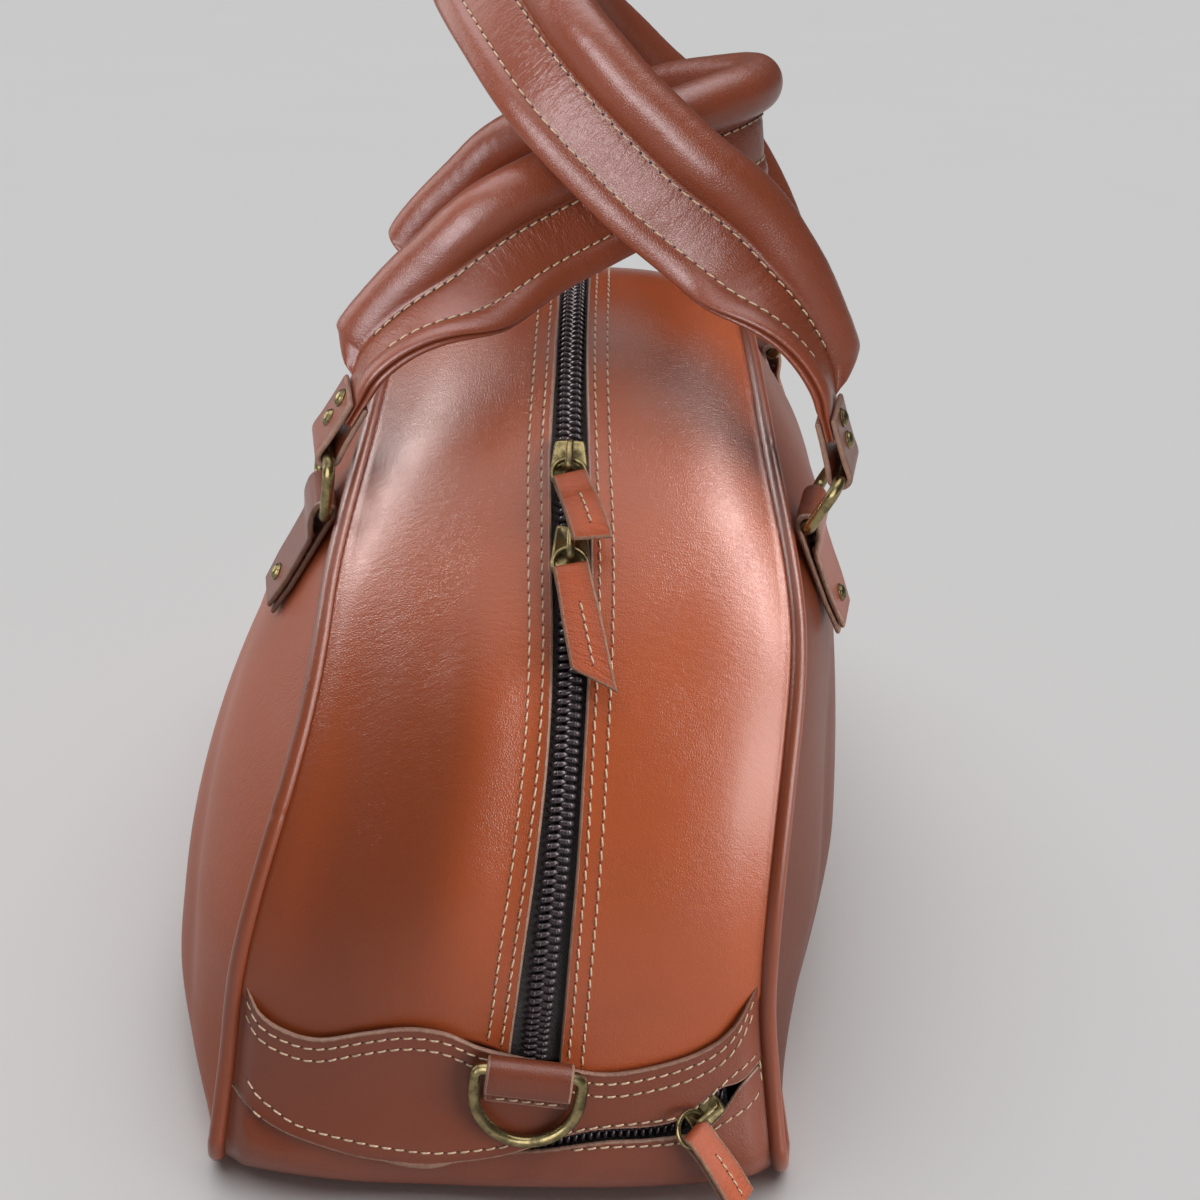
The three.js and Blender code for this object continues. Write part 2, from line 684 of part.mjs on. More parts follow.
function anchorStrip(frame) {
  const near = -LOOP_R;
  const path = [
    [-ANCHOR_LONG, near], [-ANCHOR_LONG / 2, near], [-5, near],
    ...loopPoints(LOOP_R, 0, Math.PI, 6),
    [-5, LOOP_R - 0.8], [-11, near + STEP + 0.3], [-ANCHOR_LONG / 2, near + STEP],
    [-ANCHOR_LONG + 2, near + STEP],
  ];
  return foldedStrip(frame, path, HIDE, (up) => ANCHOR_HALF - 2.5 * smoothstep(-up, 28, ANCHOR_LONG));
}

// The ring stands in the anchor's loop, and leans with the pull of its handle
function ringFrame(frame, key) {
  const { origin, across } = frame;
  const { side } = HANDLES[key];
  const up = vec(0, RING_LEAN[key], 1);
  up.addScaledVector(across, -up.dot(across)).normalize();
  const out = across.clone().cross(up).normalize();
  return { origin, up, out: out.y * side > 0 ? out : out.negate(), across };
}

// Rounded rectangular ring
function ringPath(frame) {
  const path = [];
  const [w, h, r] = [RING_HALF, RING_TALL, RING_CORNER];
  const corners = [[w - r, r, -90], [w - r, h - r, 0], [-w + r, h - r, 90], [-w + r, r, 180]];
  for (const [across, up, start] of corners) {
    for (const turn of [0, 30, 60, 90]) {
      const angle = ((start + turn) * Math.PI) / 180;
      path.push([up + r * Math.sin(angle), across + r * Math.cos(angle)]);
    }
  }
  return path.map(([up, across]) => place(frame, up, 0, across));
}

function handleCurve(key, ring) {
  const half = HANDLES[key].path.map(([x, y, z]) => vec(x, y, z));
  const aim = half[0].clone().sub(ring.origin);
  aim.addScaledVector(ring.across, -aim.dot(ring.across)).normalize();
  const near = [13, 22, 31].map((d) => ring.origin.clone().addScaledVector(aim, d));
  near.push(...half.slice(1));
  const far = near.slice(0, -1).reverse().map((p) => vec(-p.x, p.y, p.z));
  return new THREE.CatmullRomCurve3([...near, ...far], false, 'centripetal');
}

// Along a ring's bar towards the middle of the bag
function inwards(ring) {
  const along = ring.across.clone();
  return along.x * ring.origin.x > 0 ? along.negate() : along;
}

// Handle strap: the section carried along the curve, turning from flat on the panel
// to edge-up over the bag, and pressed flat at both ends
function handleStrap(key, curve, rings) {
  const { side, roll, rollTop } = HANDLES[key];
  const length = curve.getLength();
  const ends = [0, 9, 12, 16, 32];
  const stops = [...ends, ...range(20).slice(1, -1).map((f) => lerp(32, length - 32, f))];
  stops.push(...ends.map((d) => length - d).reverse());
  const loops = stops.map((run) => {
    const f = run / length;
    const p = curve.getPointAt(f);
    const along = curve.getTangentAt(f);
    const fromEnd = Math.min(run, length - run);
    const wide = inwards(f < 0.5 ? rings.near : rings.far).lerp(roll, smoothstep(fromEnd, 15, 95));
    wide.lerp(rollTop, smoothstep(fromEnd, 115, 180));
    wide.addScaledVector(along, -wide.dot(along)).normalize();
    const thick = along.clone().cross(wide).multiplyScalar(-side);
    const full = smoothstep(fromEnd, 9, 16);
    const fold = lerp(STRAP_END_HALF, STRAP_HALF, smoothstep(fromEnd, 13, 60));
    return STRAP_SECTION.map(([w, t]) => {
      const flatT = clamp(t, -STRAP_CORE_HALF, STRAP_CORE_HALF);
      const fromFold = w + STRAP_HALF;
      const pastWeb = Math.max(fromFold - STRAP_WEB, 0);
      const flatW = (fromFold - 0.97 * pastWeb) * STRAP_END_SHARE;
      const q = p.clone().addScaledVector(wide, lerp(flatW, fromFold, full) - fold);
      return q.addScaledVector(thick, lerp(flatT, t, full));
    });
  });
  return loft(loops, false);
}

function strapEndFrame(key, curve, ring, end) {
  const up = curve.getPointAt(end > 0 ? 0 : 1).sub(ring.origin).normalize();
  const across = ring.across.clone();
  const out = across.clone().cross(up).normalize();
  if (out.y * HANDLES[key].side < 0) {
    out.negate();
  }
  return { origin: ring.origin, up, out, across };
}

function strapEnd(frame) {
  const skin = STRAP_CORE_HALF + GAP + HIDE / 2;
  const path = [
    [STRAP_END_LONG, skin], [14, skin], [5, LOOP_R - 0.5],
    ...loopPoints(LOOP_R, Math.PI, 2 * Math.PI, 6),
    [5, -LOOP_R + 0.5], [14, -skin], [STRAP_END_LONG, -skin],
  ];
  return foldedStrip(frame, path, HIDE, () => STRAP_END_HALF);
}

// Domed rivet cap on a face
function rivet(frame, up, out) {
  const profile = [[0, 0], [RIVET_R, 0], [RIVET_R, 0.5], [RIVET_R * 0.7, RIVET_TALL * 0.8], [0, RIVET_TALL]];
  const shape = new THREE.LatheGeometry(profile.map(([r, h]) => new THREE.Vector2(r, h)), 8);
  const turn = new THREE.Quaternion().setFromUnitVectors(vec(0, 1, 0), frame.out);
  shape.applyQuaternion(turn);
  const seat = place(frame, up, out + GAP, 0);
  shape.translate(seat.x, seat.y, seat.z);
  return shape;
}

function toManifold(geometry) {
  const bare = new THREE.BufferGeometry();
  bare.setAttribute('position', geometry.getAttribute('position'));
  bare.setIndex(geometry.getIndex());
  const merged = mergeVertices(bare, 1e-4);
  return new wasm.Manifold(new wasm.Mesh({
    numProp: 3,
    vertProperties: new Float32Array(merged.getAttribute('position').array),
    triVerts: new Uint32Array(merged.getIndex().array),
  }));
}

function fromManifold(body) {
  const mesh = body.getMesh();
  const geometry = new THREE.BufferGeometry();
  const points = new Float32Array(mesh.vertProperties);
  geometry.setAttribute('position', new THREE.BufferAttribute(points, 3));
  geometry.setIndex(new THREE.BufferAttribute(new Uint32Array(mesh.triVerts), 1));
  geometry.computeVertexNormals();
  return geometry;
}

// Slider: a waisted body with a bail over it; shapes are drawn along and out from the zip
const BAIL_Z = 4.4;
const SLIDER_TALL = 2.6;

function sliderGeometry() {
  const plan = new THREE.Shape();
  plan.moveTo(-6.5, -3.2);
  plan.lineTo(1, -4.6);
  plan.lineTo(5.5, -4.6);
  plan.lineTo(6.5, -2.5);
  plan.lineTo(6.5, 2.5);
  plan.lineTo(5.5, 4.6);
  plan.lineTo(1, 4.6);
  plan.lineTo(-6.5, 3.2);
  const body = new THREE.ExtrudeGeometry(plan, { depth: SLIDER_TALL, bevelEnabled: false });
  const arch = new THREE.Shape();
  arch.moveTo(-4.8, 0);
  arch.lineTo(-4.8, 5.4);
  arch.lineTo(-3.4, 7);
  arch.lineTo(3.4, 7);
  arch.lineTo(4.8, 5.4);
  arch.lineTo(4.8, 0);
  const hole = new THREE.Path();
  hole.moveTo(-3.4, 2.2);
  hole.lineTo(3.4, 2.2);
  hole.lineTo(3.4, 5.4);
  hole.lineTo(2.6, 5.9);
  hole.lineTo(-2.6, 5.9);
  hole.lineTo(-3.4, 5.4);
  arch.holes.push(hole);
  const bail = new THREE.ExtrudeGeometry(arch, { depth: 2.6, bevelEnabled: false });
  bail.rotateX(Math.PI / 2);
  bail.translate(0, 1.3, 0);
  return fromManifold(toManifold(body).add(toManifold(bail)));
}

function slider(frame, size) {
  const geometry = sliderGeometry();
  geometry.scale(size, size, size);
  const basis = new THREE.Matrix4().makeBasis(frame.up, frame.across, frame.out);
  if (basis.determinant() < 0) {
    basis.makeBasis(frame.up, frame.across.clone().negate(), frame.out);
  }
  geometry.applyMatrix4(basis.setPosition(frame.origin));
  return geometry;
}

const PULL_RING_R = 5.4;
const PULL_WIRE_R = 0.8;
const PULL_HIDE = 1.6;
const PULL_LOOP_R = PULL_WIRE_R + 0.8 + GAP + PULL_HIDE / 2;
const PULL_HANG = -1.5 - 2 * PULL_RING_R;

function pullRing(frame) {
  const path = range(14).slice(0, 14).map((f) => {
    const angle = f * 2 * Math.PI;
    const up = -1.5 - PULL_RING_R + PULL_RING_R * Math.cos(angle);
    return place(frame, up, BAIL_Z, PULL_RING_R * Math.sin(angle));
  });
  return wireRing(path, PULL_WIRE_R, 5);
}

// Leather pull folded round its ring; the route gives the drop below the ring and the height
function pull(frame, route, lean, neck) {
  const turned = { ...frame };
  turned.up = frame.up.clone().addScaledVector(frame.across, -lean).normalize();
  turned.origin = place(frame, -1.5 - PULL_RING_R, BAIL_Z, 0);
  turned.origin.addScaledVector(turned.up, -PULL_RING_R);
  turned.across = turned.up.clone().cross(frame.out).negate().normalize();
  const over = route.map(([up, out]) => [up, out + PULL_HIDE / 2 + GAP / 2]);
  const under = route.map(([up, out]) => [up + 2, out - PULL_HIDE / 2 - GAP / 2]);
  const path = [
    ...over.reverse(),
    ...loopPoints(PULL_LOOP_R, Math.PI, 0, 6),
    ...under,
  ];
  const long = -route.at(-1)[0];
  return foldedStrip(turned, path, PULL_HIDE, (up) => lerp(neck, 6.4, smoothstep(-up, 4, 0.55 * long)));
}

// Body
addPiece('front_panel', panel('front'), 'leather');
addPiece('back_panel', panel('back'), 'leather');
addPiece('gusset_front', gussetHalf(-1), 'leather');
addPiece('gusset_back', gussetHalf(1), 'leather');
addPiece('base_strip', baseStrip(), 'leather');
addPiece('boot_near', nearBoot(), 'leather');
addPiece('piping_front', piping('front'), 'leather');
addPiece('piping_back', piping('back'), 'leather');
addPiece('zip_main', mainZip(), 'zip');
addPiece('zip_pocket', pocketZip(), 'zip');

// Main zip sliders with their rings and pulls: drop below the ring, height above it
const PULL_ROUTES = {
  upper: { route: [[-6, 3], [-12, 6.2], [-20, 6.4], [-25, 4.6]], lean: 0.3 },
  lower: { route: [[-6, 0], [-20, -0.6], [-34, -1.6], [-43, -2]], lean: 0.22 },
};

function zipRun(z) {
  const dense = range(2000).map((f) => lerp(CORNER_RUN, HALF_RUN, f));
  return dense.find((run) => gussetAt(run, 0, 0).z >= z);
}

const SLIDER_HEIGHTS = { upper: 218, lower: 199 };
for (const key of ['upper', 'lower']) {
  const run = zipRun(SLIDER_HEIGHTS[key]);
  const frame = gussetFrame(run, zipY(run), GAP - COIL_DROP);
  const { route, lean } = PULL_ROUTES[key];
  addPiece(`zip_slider_${key}`, slider(frame, 1), 'brass');
  addPiece(`pull_ring_${key}`, pullRing(frame), 'brass');
  addPiece(`zip_pull_${key}`, pull(frame, route, lean, 3), 'leather');
}

// Pocket slider near the back end of the slot
function pocketSliderFrame() {
  const t = POCKET_SLIDER_T;
  const spot = (share) => {
    const run = slotLine(share);
    const y = lerp(edgeY(run, -1), edgeY(run, 1), (share + 1) / 2);
    return gussetAt(run, y, bootLift(run) - 0.4 - POCKET_BEHIND + GAP);
  };
  const along = spot(t + 0.03).sub(spot(t - 0.03)).normalize();
  const origin = spot(t);
  const out = gussetFrame(slotLine(t), origin.y, 0).out;
  out.addScaledVector(along, -out.dot(along)).normalize();
  return { origin, up: along, out, across: out.clone().cross(along).normalize() };
}

const pocketFrame = pocketSliderFrame();
addPiece('pocket_slider', slider(pocketFrame, POCKET_SLIDER_SIZE), 'brass');

// The pocket ring lies beside its slider, and the pull hangs from the lowest point of the ring
function pocketPullFrame() {
  const flat = { ...pocketFrame };
  if (flat.across.z < 0) {
    flat.across = flat.across.clone().negate();
  }
  const eye = place(flat, -1.7, BAIL_Z * POCKET_SLIDER_SIZE, 0);
  flat.up = flat.up.clone().addScaledVector(flat.out, -POCKET_RING_TILT).normalize();
  flat.out = flat.out.clone().addScaledVector(flat.up, -flat.out.dot(flat.up)).normalize();
  return { flat, centre: eye.clone().addScaledVector(flat.up, -PULL_RING_R) };
}

function pocketRing({ flat, centre }) {
  const path = range(14).slice(0, 14).map((f) => {
    const angle = f * 2 * Math.PI;
    const p = centre.clone().addScaledVector(flat.up, PULL_RING_R * Math.cos(angle));
    return p.addScaledVector(flat.across, PULL_RING_R * Math.sin(angle));
  });
  return wireRing(path, PULL_WIRE_R, 5);
}

function pocketPull({ flat, centre }) {
  const low = centre.clone().addScaledVector(flat.across, -PULL_RING_R);
  const hang = { origin: low, up: flat.across, out: flat.out, across: flat.up };
  hang.origin = place(hang, -PULL_HANG, -BAIL_Z, 0);
  return pull(hang, [[-6, 0.4], [-14, -0.4], [-22, -2.4]], 0, 2);
}

const pocketHang = pocketPullFrame();
addPiece('pull_ring_pocket', pocketRing(pocketHang), 'brass');
addPiece('zip_pull_pocket', pocketPull(pocketHang), 'leather');

// Two D-rings in their tabs
for (const [name, end] of [['near', 1], ['far', -1]]) {
  const frame = dFrame(end);
  addPiece(`d_ring_${name}`, dRing(frame), 'brass');
  addPiece(`d_ring_tab_${name}`, dTab(frame), 'leather');
}

// Handles: anchors on the panels, rings, strap ends, rivets, then the straps
for (const key of ['front', 'back']) {
  const rings = {};
  for (const [name, end] of [['near', 1], ['far', -1]]) {
    const frame = anchorFrame(key, end);
    const upright = ringFrame(frame, key);
    rings[name] = { ...upright, origin: place(upright, RING_TALL, 0, 0) };
    addPiece(`anchor_${key}_${name}`, anchorStrip(frame), 'leather');
    addPiece(`handle_ring_${key}_${name}`, wireRing(ringPath(upright), RING_WIRE_R, 6), 'brass');
    const face = -LOOP_R + STEP + HIDE / 2;
    addPiece(`anchor_rivet_${key}_${name}`, rivet(frame, -ANCHOR_LONG + 11, face), 'brass');
  }
  const curve = handleCurve(key, rings.near);
  addPiece(`handle_${key}`, handleStrap(key, curve, rings), 'handle');
  for (const [name, end] of [['near', 1], ['far', -1]]) {
    const frame = strapEndFrame(key, curve, rings[name], end);
    addPiece(`strap_end_${key}_${name}`, strapEnd(frame), 'handle');
    const face = STRAP_CORE_HALF + GAP + HIDE;
    addPiece(`rivet_low_${key}_${name}`, rivet(frame, 8.5, face), 'brass');
    addPiece(`rivet_high_${key}_${name}`, rivet(frame, 16.5, face), 'brass');
  }
}

export default bag;
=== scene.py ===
"""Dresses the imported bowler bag: leather walls, piping, thread, zips, brass and handles as numpy surfaces."""

import bmesh
import bpy
import numpy as np
from mathutils import Matrix


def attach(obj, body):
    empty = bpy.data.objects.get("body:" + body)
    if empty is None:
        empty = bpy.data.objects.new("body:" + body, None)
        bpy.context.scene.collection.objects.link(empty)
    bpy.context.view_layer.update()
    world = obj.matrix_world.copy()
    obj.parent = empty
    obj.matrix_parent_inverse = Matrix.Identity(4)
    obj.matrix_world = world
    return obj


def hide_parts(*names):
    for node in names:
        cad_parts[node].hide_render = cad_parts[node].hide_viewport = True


bl_info = {
    "name": "Leather bowler bag",
    "version": (1, 0, 0),
    "blender": (4, 5, 0),
    "location": "3D View > Sidebar > Bowler bag",
    "description": "Leather, thread, zips and brass of a bowler bag on its packed frame",
    "category": "Object",
}

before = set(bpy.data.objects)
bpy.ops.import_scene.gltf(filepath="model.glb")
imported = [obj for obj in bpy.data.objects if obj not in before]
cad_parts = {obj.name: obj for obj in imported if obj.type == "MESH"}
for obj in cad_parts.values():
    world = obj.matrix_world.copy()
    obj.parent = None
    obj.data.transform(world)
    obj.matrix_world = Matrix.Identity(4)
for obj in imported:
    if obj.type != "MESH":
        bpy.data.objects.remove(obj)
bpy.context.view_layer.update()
MM = 0.001

# The frame's own shape, in millimetres: side outline, widths, crown, swell of the panels and seams
BASE_HALF, CORNER_R, WAIST_HALF, WAIST_Z, SEAM_TOP, DOME_POWER = 194, 20, 180, 76, 244, 1.22
FOOT_HALF, TOP_HALF, DRAWN_IN = 95, 62, 16
SHOULDER, SHOULDER_AT, SHOULDER_SPAN = 3.2, 0.62, 0.12
FOOT_SHIFT, TOP_SHIFT, SHIFT_FROM, SHIFT_TO = -10.5, 6, 0.2, 0.6
CROWN, CROWN_POWER, SHOULDER_DROP = 10, 3.2, 1.6
# Swell of each panel: the most it stands out, its power along the bag, its height, its powers below and above
SWELL = {"front": (39.5, 3.6, 0.16, 3.4, 2.1), "back": (39.5, 2.55, 0.29, 1.6, 1.6)}
PANEL_Z, PANEL_FACE, PIPING_INSET, GAP = 85, 0.6, 3.1, 0.35
SEAM_CLEAR = 3.15
CORNER_RUN = BASE_HALF - CORNER_R
SIDE = {"front": -1, "back": 1}
ENDS = {"near": 1, "far": -1}
UP = (0.05, 0.02, 1.0)
PIPING_JOINT = {"front": 318, "back": 447}

# Boot edge and pocket slot: place across from seam to seam, then distance up the end
BOOT_EDGE = np.array([
    (-1, 89.5), (-0.9, 79.5), (-0.78, 75.2), (-0.66, 74.6), (-0.5, 79), (-0.34, 82.3), (-0.2, 81), (-0.06, 75),
    (0.15, 70), (0.38, 65.4), (0.58, 67.3), (0.77, 72), (0.88, 78.5), (1, 95)])
SLOT_LINE = np.array([
    (-1, 52), (-0.9, 46), (-0.78, 41), (-0.62, 37), (-0.45, 33.6), (-0.24, 32.3), (-0.09, 34), (0.1, 37.6),
    (0.27, 41.4), (0.4, 43.2), (0.55, 43.6), (0.67, 45.2), (0.75, 48.6), (0.83, 53.6), (0.91, 58.6), (1, 63)])
# Rows of thread round the pocket: place across, then distance up the end
POCKET_ROW = np.array([
    (-0.93, 56), (-0.88, 51), (-0.82, 47.6), (-0.72, 43.1), (-0.53, 39.6), (-0.34, 37), (-0.2, 36.2),
    (0, 38.6), (0.32, 45.6), (0.53, 47.6), (0.66, 49), (0.75, 53), (0.81, 57.5), (0.89, 62.5), (0.976, 66)])
POCKET_FOOT_ROW = np.array([(-0.9, 46.5), (-0.84, 42.9)])
POCKET_LOW_ROW = np.array([
    (0.26, 38.2), (0.4, 39.4), (0.56, 39.6), (0.68, 40.4), (0.78, 43.6), (0.88, 48), (0.94, 50.8),
    (0.976, 53.5)])
# Lap of the slot's upper lip, and half of the slot's gap: shut, open, more at the slider, and at its ends
SLOT_LAP, SLOT_SHUT, SLOT_OPEN, SLOT_AT_SLIDER, SLOT_AT_END = 0.9, 0.2, 2.0, 2.6, 0.15
# Zip: distance up the end, place of its middle, half of the open slot
ZIP_LINE = np.array([
    (60, 0.5, 7.8), (80, 1.8, 7.5), (105, 4, 6.8), (135, 6.8, 5.9), (165, 8.6, 5.2), (195, 9.2, 5.4),
    (225, 8.4, 6), (262, 6.8, 5.8), (300, 6.3, 5), (360, 6.3, 5)])
# Boots: tuck under the edge, step over the gusset, lap of the walls under the piping, and half width
BOOT_TUCK, BOOT_STEP, SEAM_LAP, BOOT_HALF = 6, 2.8, 1.6, 85
POCKET_BEHIND, POCKET_SLIDER_T, POCKET_SLIDER_SIZE, POCKET_RING_TILT = 2, 0.77, 0.8, 0.5
# D-rings and their tabs, handle rings, anchors, strap ends, rivets, coil, bail and pull rings
D_HALF, D_ARM, D_TAB_HALF, D_TAB_RISE = 16.5, 8, 13.4, 69
D_ABOVE, D_BELOW, D_FOOT, D_WIRE_R, HIDE_HALF = 2.0, 12.0, 14, 2, 1
D_TURN = {"near": 0.105, "far": 0}
RING_HALF, RING_TALL, RING_CORNER = 16, 20, 4.5
RING_LEAN = {"front": 0.12, "back": 0.5}
ANCHOR_X, ANCHOR_Z, ANCHOR_LONG, ANCHOR_HALF = 84, 197, 44, 11
STRAP_END_HALF, STRAP_END_LONG, STRAP_CORE_HALF, STRAP_HALF = 10.5, 20.5, 1.2, 22
RIVET_R, RIVET_TALL = 3.1, 2.0
COIL_HALF, COIL_DROP, BAIL_Z, BAR_LOOP = 4.4, 0.4, 4.4, 3.35
PULL_RING_R, PULL_WIRE_R = 5.4, 0.8
SLIDER_Z = {"upper": 218, "lower": 199}
# Pull rings below a slider's middle, zip tapes, and small steps of rings, tabs and rolls
RING_HANG, POCKET_RING_HANG = 1.5, 1.7
TAPE_HALF, TAPE_DROP, TAPE_THICK, POCKET_TAPE_HALF, POCKET_TAPE_END = 10.5, 2.35, 1.0, 7, 0.86
D_CORNER, D_JOIN, LAYER_STEP, ROLL_CENTRE = 1.2, 9, 2.35, 12.2
# Zip pulls: the strap's route as distances up and out, its lean, half its width, and the slant of its end
PULLS = {
    "upper": ([(-3, 1.6), (-8, 4.4), (-14, 6.0), (-20, 6.0), (-24, 4.6)], 0.3, 5.6, 2.0),
    "lower": ([(-6, 0), (-20, -0.6), (-32, -1.4), (-38, -1.6)], 0.22, 5.6, 10.0),
    "pocket": ([(-6, 0.4), (-14, -0.4), (-24, -2.4)], 0, 5.0, -3.0),
}
# Rows of thread: distances from a cut edge, and on a handle width and thickness; pitch on small pieces
GUSSET_ROWS, BOOT_ROWS, HANDLE_ROWS, SMALL_PITCH = (3.0, 7.3), (3.7, 8.3), ((-12.9, 1.9), (1.6, 1.62)), 3.4
# Slack of each panel: the size and the seed of its waves, and the most that it stands out
PANEL_SLACK, PANEL_SLACK_MOST = {"front": (2.6, 2), "back": (2.2, 7)}, 2.5
# Soft forms: slack of the gusset and boot, ridge and hollow of the slumped end, crease of a panel, and at the base
# the hem of the boot and of the base, the tuck under the upper lip, and the lip's own lift
GUSSET_SLACK, BOOT_SLACK, SLUMP_RIDGE, SLUMP_HOLLOW, PANEL_CREASE = 0.6, 0.35, 3.8, 1.8, 3.0
BOOT_HEM, BASE_HEM, LIP_TUCK, LIP_LIFT = 3.2, 0.9, 2.3, 0.5
# Handles: wave of the web, three swellings of the roll, and how creased the roll and the web are
WEB_WAVE, ROLL_SWELL, ROLL_CREASED, WEB_CREASED = 0.09, (0.02, 0.012, 0.004), 0.05, 0.56
# Coils: radius and top of the main bars; half width, radius, top, pitch and stretch of the pocket's bars
COIL_BAR_R, COIL_TOP, POCKET_COIL_HALF, POCKET_BAR_R, POCKET_COIL_TOP = 0.9, -0.1, 2.9, 0.62, 1.6
POCKET_BAR_PITCH, POCKET_COIL_FROM, POCKET_COIL_TO, POCKET_TAPE_LONG, END_HALF = 1.1, 12.0, 68.0, 150, 80
# Distances from an edge at which a surface has points, and the distance that counts as far from one
CUT_RIM, STRIP_END, PANEL_RIM = [0, 0.12, 0.35, 0.7, 1.1, 1.7], [0, 0.15, 0.4, 0.8], [0, 1, 2.5, 5, 8]
RIM_FAR = 40.0
# Weld distance in metres, scale of the UVs, and what is marked on each point: distance from the cut edge,
# painted shade (dark), and crease
WELD, UV_PER_MM, MARKS = 2e-6, 0.01, ("rim", "dark", "crease")

# Handles: direction of the padded roll, and half of the middle line from the ring to the top: x, y, z
ROLL = {"front": (0, -0.55, 0.835), "back": (0, 0.72, 0.694)}
ROLL_TOP = {"front": (0, -0.1, 0.995), "back": (0, 0.72, 0.694)}
HANDLE_PATH = {
    "front": [(83, -56, 248), (75, -35, 265), (64, -13, 281), (49, 10, 291), (33, 38, 302), (15, 62, 309),
              (0, 69, 311)],
    "back": [(86, 86, 250), (77, 62, 281), (73, 31, 306), (60, 3, 331), (39, -14, 350), (18, -24, 361),
             (0, -27, 364)],
}

# Leathers: colour, colour where darkened, roughness, share of the grain's depth, gloss and coat
LEATHERS = {
    "body_leather": ("leather", "leather_deep", 0.28, 1, 0.42, 0.25),
    "panel_leather": ("panel", "leather_deep", 0.4, 1, 0.28, 0.1),
    # The boot leather is a darker copy of the body leather: painted shade at the foot of the bag.
    "boot_leather": ("boot", "boot_deep", 0.38, 1, 0.42, 0.25),
    "handle_leather": ("handle", "handle_deep", 0.32, 1.3, 0.42, 0.25),
    "pull_leather": ("pull", "leather_deep", 0.48, 1, 0.25, 0.05),
    "piping_leather": ("piping", "leather_deep", 0.32, 0.7, 0.42, 0.25),
}
# Groups of pieces that share their lights, and the group of a slot that has its own
LIT_GROUPS, BODY_LIT = ("end_lit", "panel_lit", "handle_lit", "brass_lit"), ("end_lit", "panel_lit")
LIT_WITH = {"antique_brass": "brass_lit", "handle_leather": "handle_lit"}
# Camera: its right, up and back directions, its place in millimetres, the shift and width of its picture
CAMERA_AXES = [(-0.0005, 0.9996, 0.0283), (-0.4558, -0.0254, 0.8897), (0.8901, -0.0125, 0.4556)]
CAMERA_SPOT, CAMERA_SHIFT, CAMERA_WIDE = (534.42, 14.40, 398.69), (-0.00655, -0.01027), 36.0
# Lights: distance from a spot over the base, and the tints of the windows
LIGHT_FAR, LIGHT_OVER = 1.5, (0, 0, 0.15)
COOL, WARM = (0.86, 0.9, 1.0), (1.0, 0.88, 0.86)


def smooth(f, low, high):
    """Eased step: 0 below low, 1 above high, a cubic between."""
    t = np.clip((np.asarray(f, float) - low) / (high - low), 0, 1)
    return t * t * (3 - 2 * t)


def mix(a, b, f):
    """Straight blend from a to b."""
    return a + (b - a) * f


def unit(v):
    """Vectors scaled to length one."""
    v = np.asarray(v, float)
    return v / np.maximum(np.linalg.norm(v, axis=-1, keepdims=True), 1e-12)


def bump(f, at, span):
    """Bell of height one at a place, with a given spread."""
    return np.exp(-(((f - at) / span) ** 2))


def run_along(path):
    """Distance run along a path of points, from 0 at its start."""
    return np.concatenate([[0], np.cumsum(np.linalg.norm(np.diff(path, axis=0), axis=1))])


def along_path(at, run, path):
    """Points of a path at distances along its run."""
    return np.stack([np.interp(at, run, column) for column in path.T], -1)


def curve_through(table, column, at):
    """Smooth curve through a table's column: a cubic between rows, with slopes taken from the rows on
    either side."""
    x, v = table[:, 0], table[:, column]
    ahead, behind = np.minimum(np.arange(len(x)) + 1, len(x) - 1), np.maximum(np.arange(len(x)) - 1, 0)
    slope = (v[ahead] - v[behind]) / (x[ahead] - x[behind])
    at = np.clip(at, x[0], x[-1])
    k = np.clip(np.searchsorted(x, at), 1, len(x) - 1)
    span = x[k] - x[k - 1]
    f = (at - x[k - 1]) / span
    bend = f * (1 - f) * span * (slope[k - 1] * (1 - f) - slope[k] * f)
    return mix(v[k - 1], v[k], f * f * (3 - 2 * f)) + bend


def half_outline():
    """Side outline from the middle of the base: flat, a quarter circle, a quarter sine in to the waist,
    then a superellipse up to the top. Gives x, z and the distance run along it."""
    a = np.linspace(0, np.pi / 2, 400)[1:]
    x = [np.linspace(0, CORNER_RUN, 60), CORNER_RUN + CORNER_R * np.sin(a),
         mix(BASE_HALF, WAIST_HALF, np.sin(a)), WAIST_HALF * np.clip(np.cos(a), 0, 1) ** DOME_POWER]
    z = [np.zeros(60), CORNER_R * (1 - np.cos(a)), mix(CORNER_R, WAIST_Z, a / (np.pi / 2)),
         WAIST_Z + (SEAM_TOP - WAIST_Z) * np.sin(a) ** DOME_POWER]
    x, z = np.concatenate(x), np.concatenate(z)
    return x, z, run_along(np.stack([x, z], -1))


OUT_X, OUT_Z, OUT_RUN = half_outline()
HALF_RUN = OUT_RUN[-1]
END_RUN = HALF_RUN - CORNER_RUN


def outline(run):
    """Point x, z of the side outline at a run along it, its outward direction, and the rise from base to
    top."""
    lap = 2 * HALF_RUN
    wrapped = np.mod(run, lap)
    near = wrapped <= HALF_RUN
    half = np.where(near, wrapped, lap - wrapped)
    side = np.where(near, 1.0, -1.0)
    a, b = np.maximum(half - 1, 0), np.minimum(half + 1, HALF_RUN)
    dx = np.interp(b, OUT_RUN, OUT_X) - np.interp(a, OUT_RUN, OUT_X)
    dz = np.interp(b, OUT_RUN, OUT_Z) - np.interp(a, OUT_RUN, OUT_Z)
    slope = np.hypot(dx, dz)
    x, z = np.interp(half, OUT_RUN, OUT_X), np.interp(half, OUT_RUN, OUT_Z)
    rise = np.clip((half - CORNER_RUN) / END_RUN, 0, 1)
    return side * x, z, side * dz / slope, -dx / slope, rise


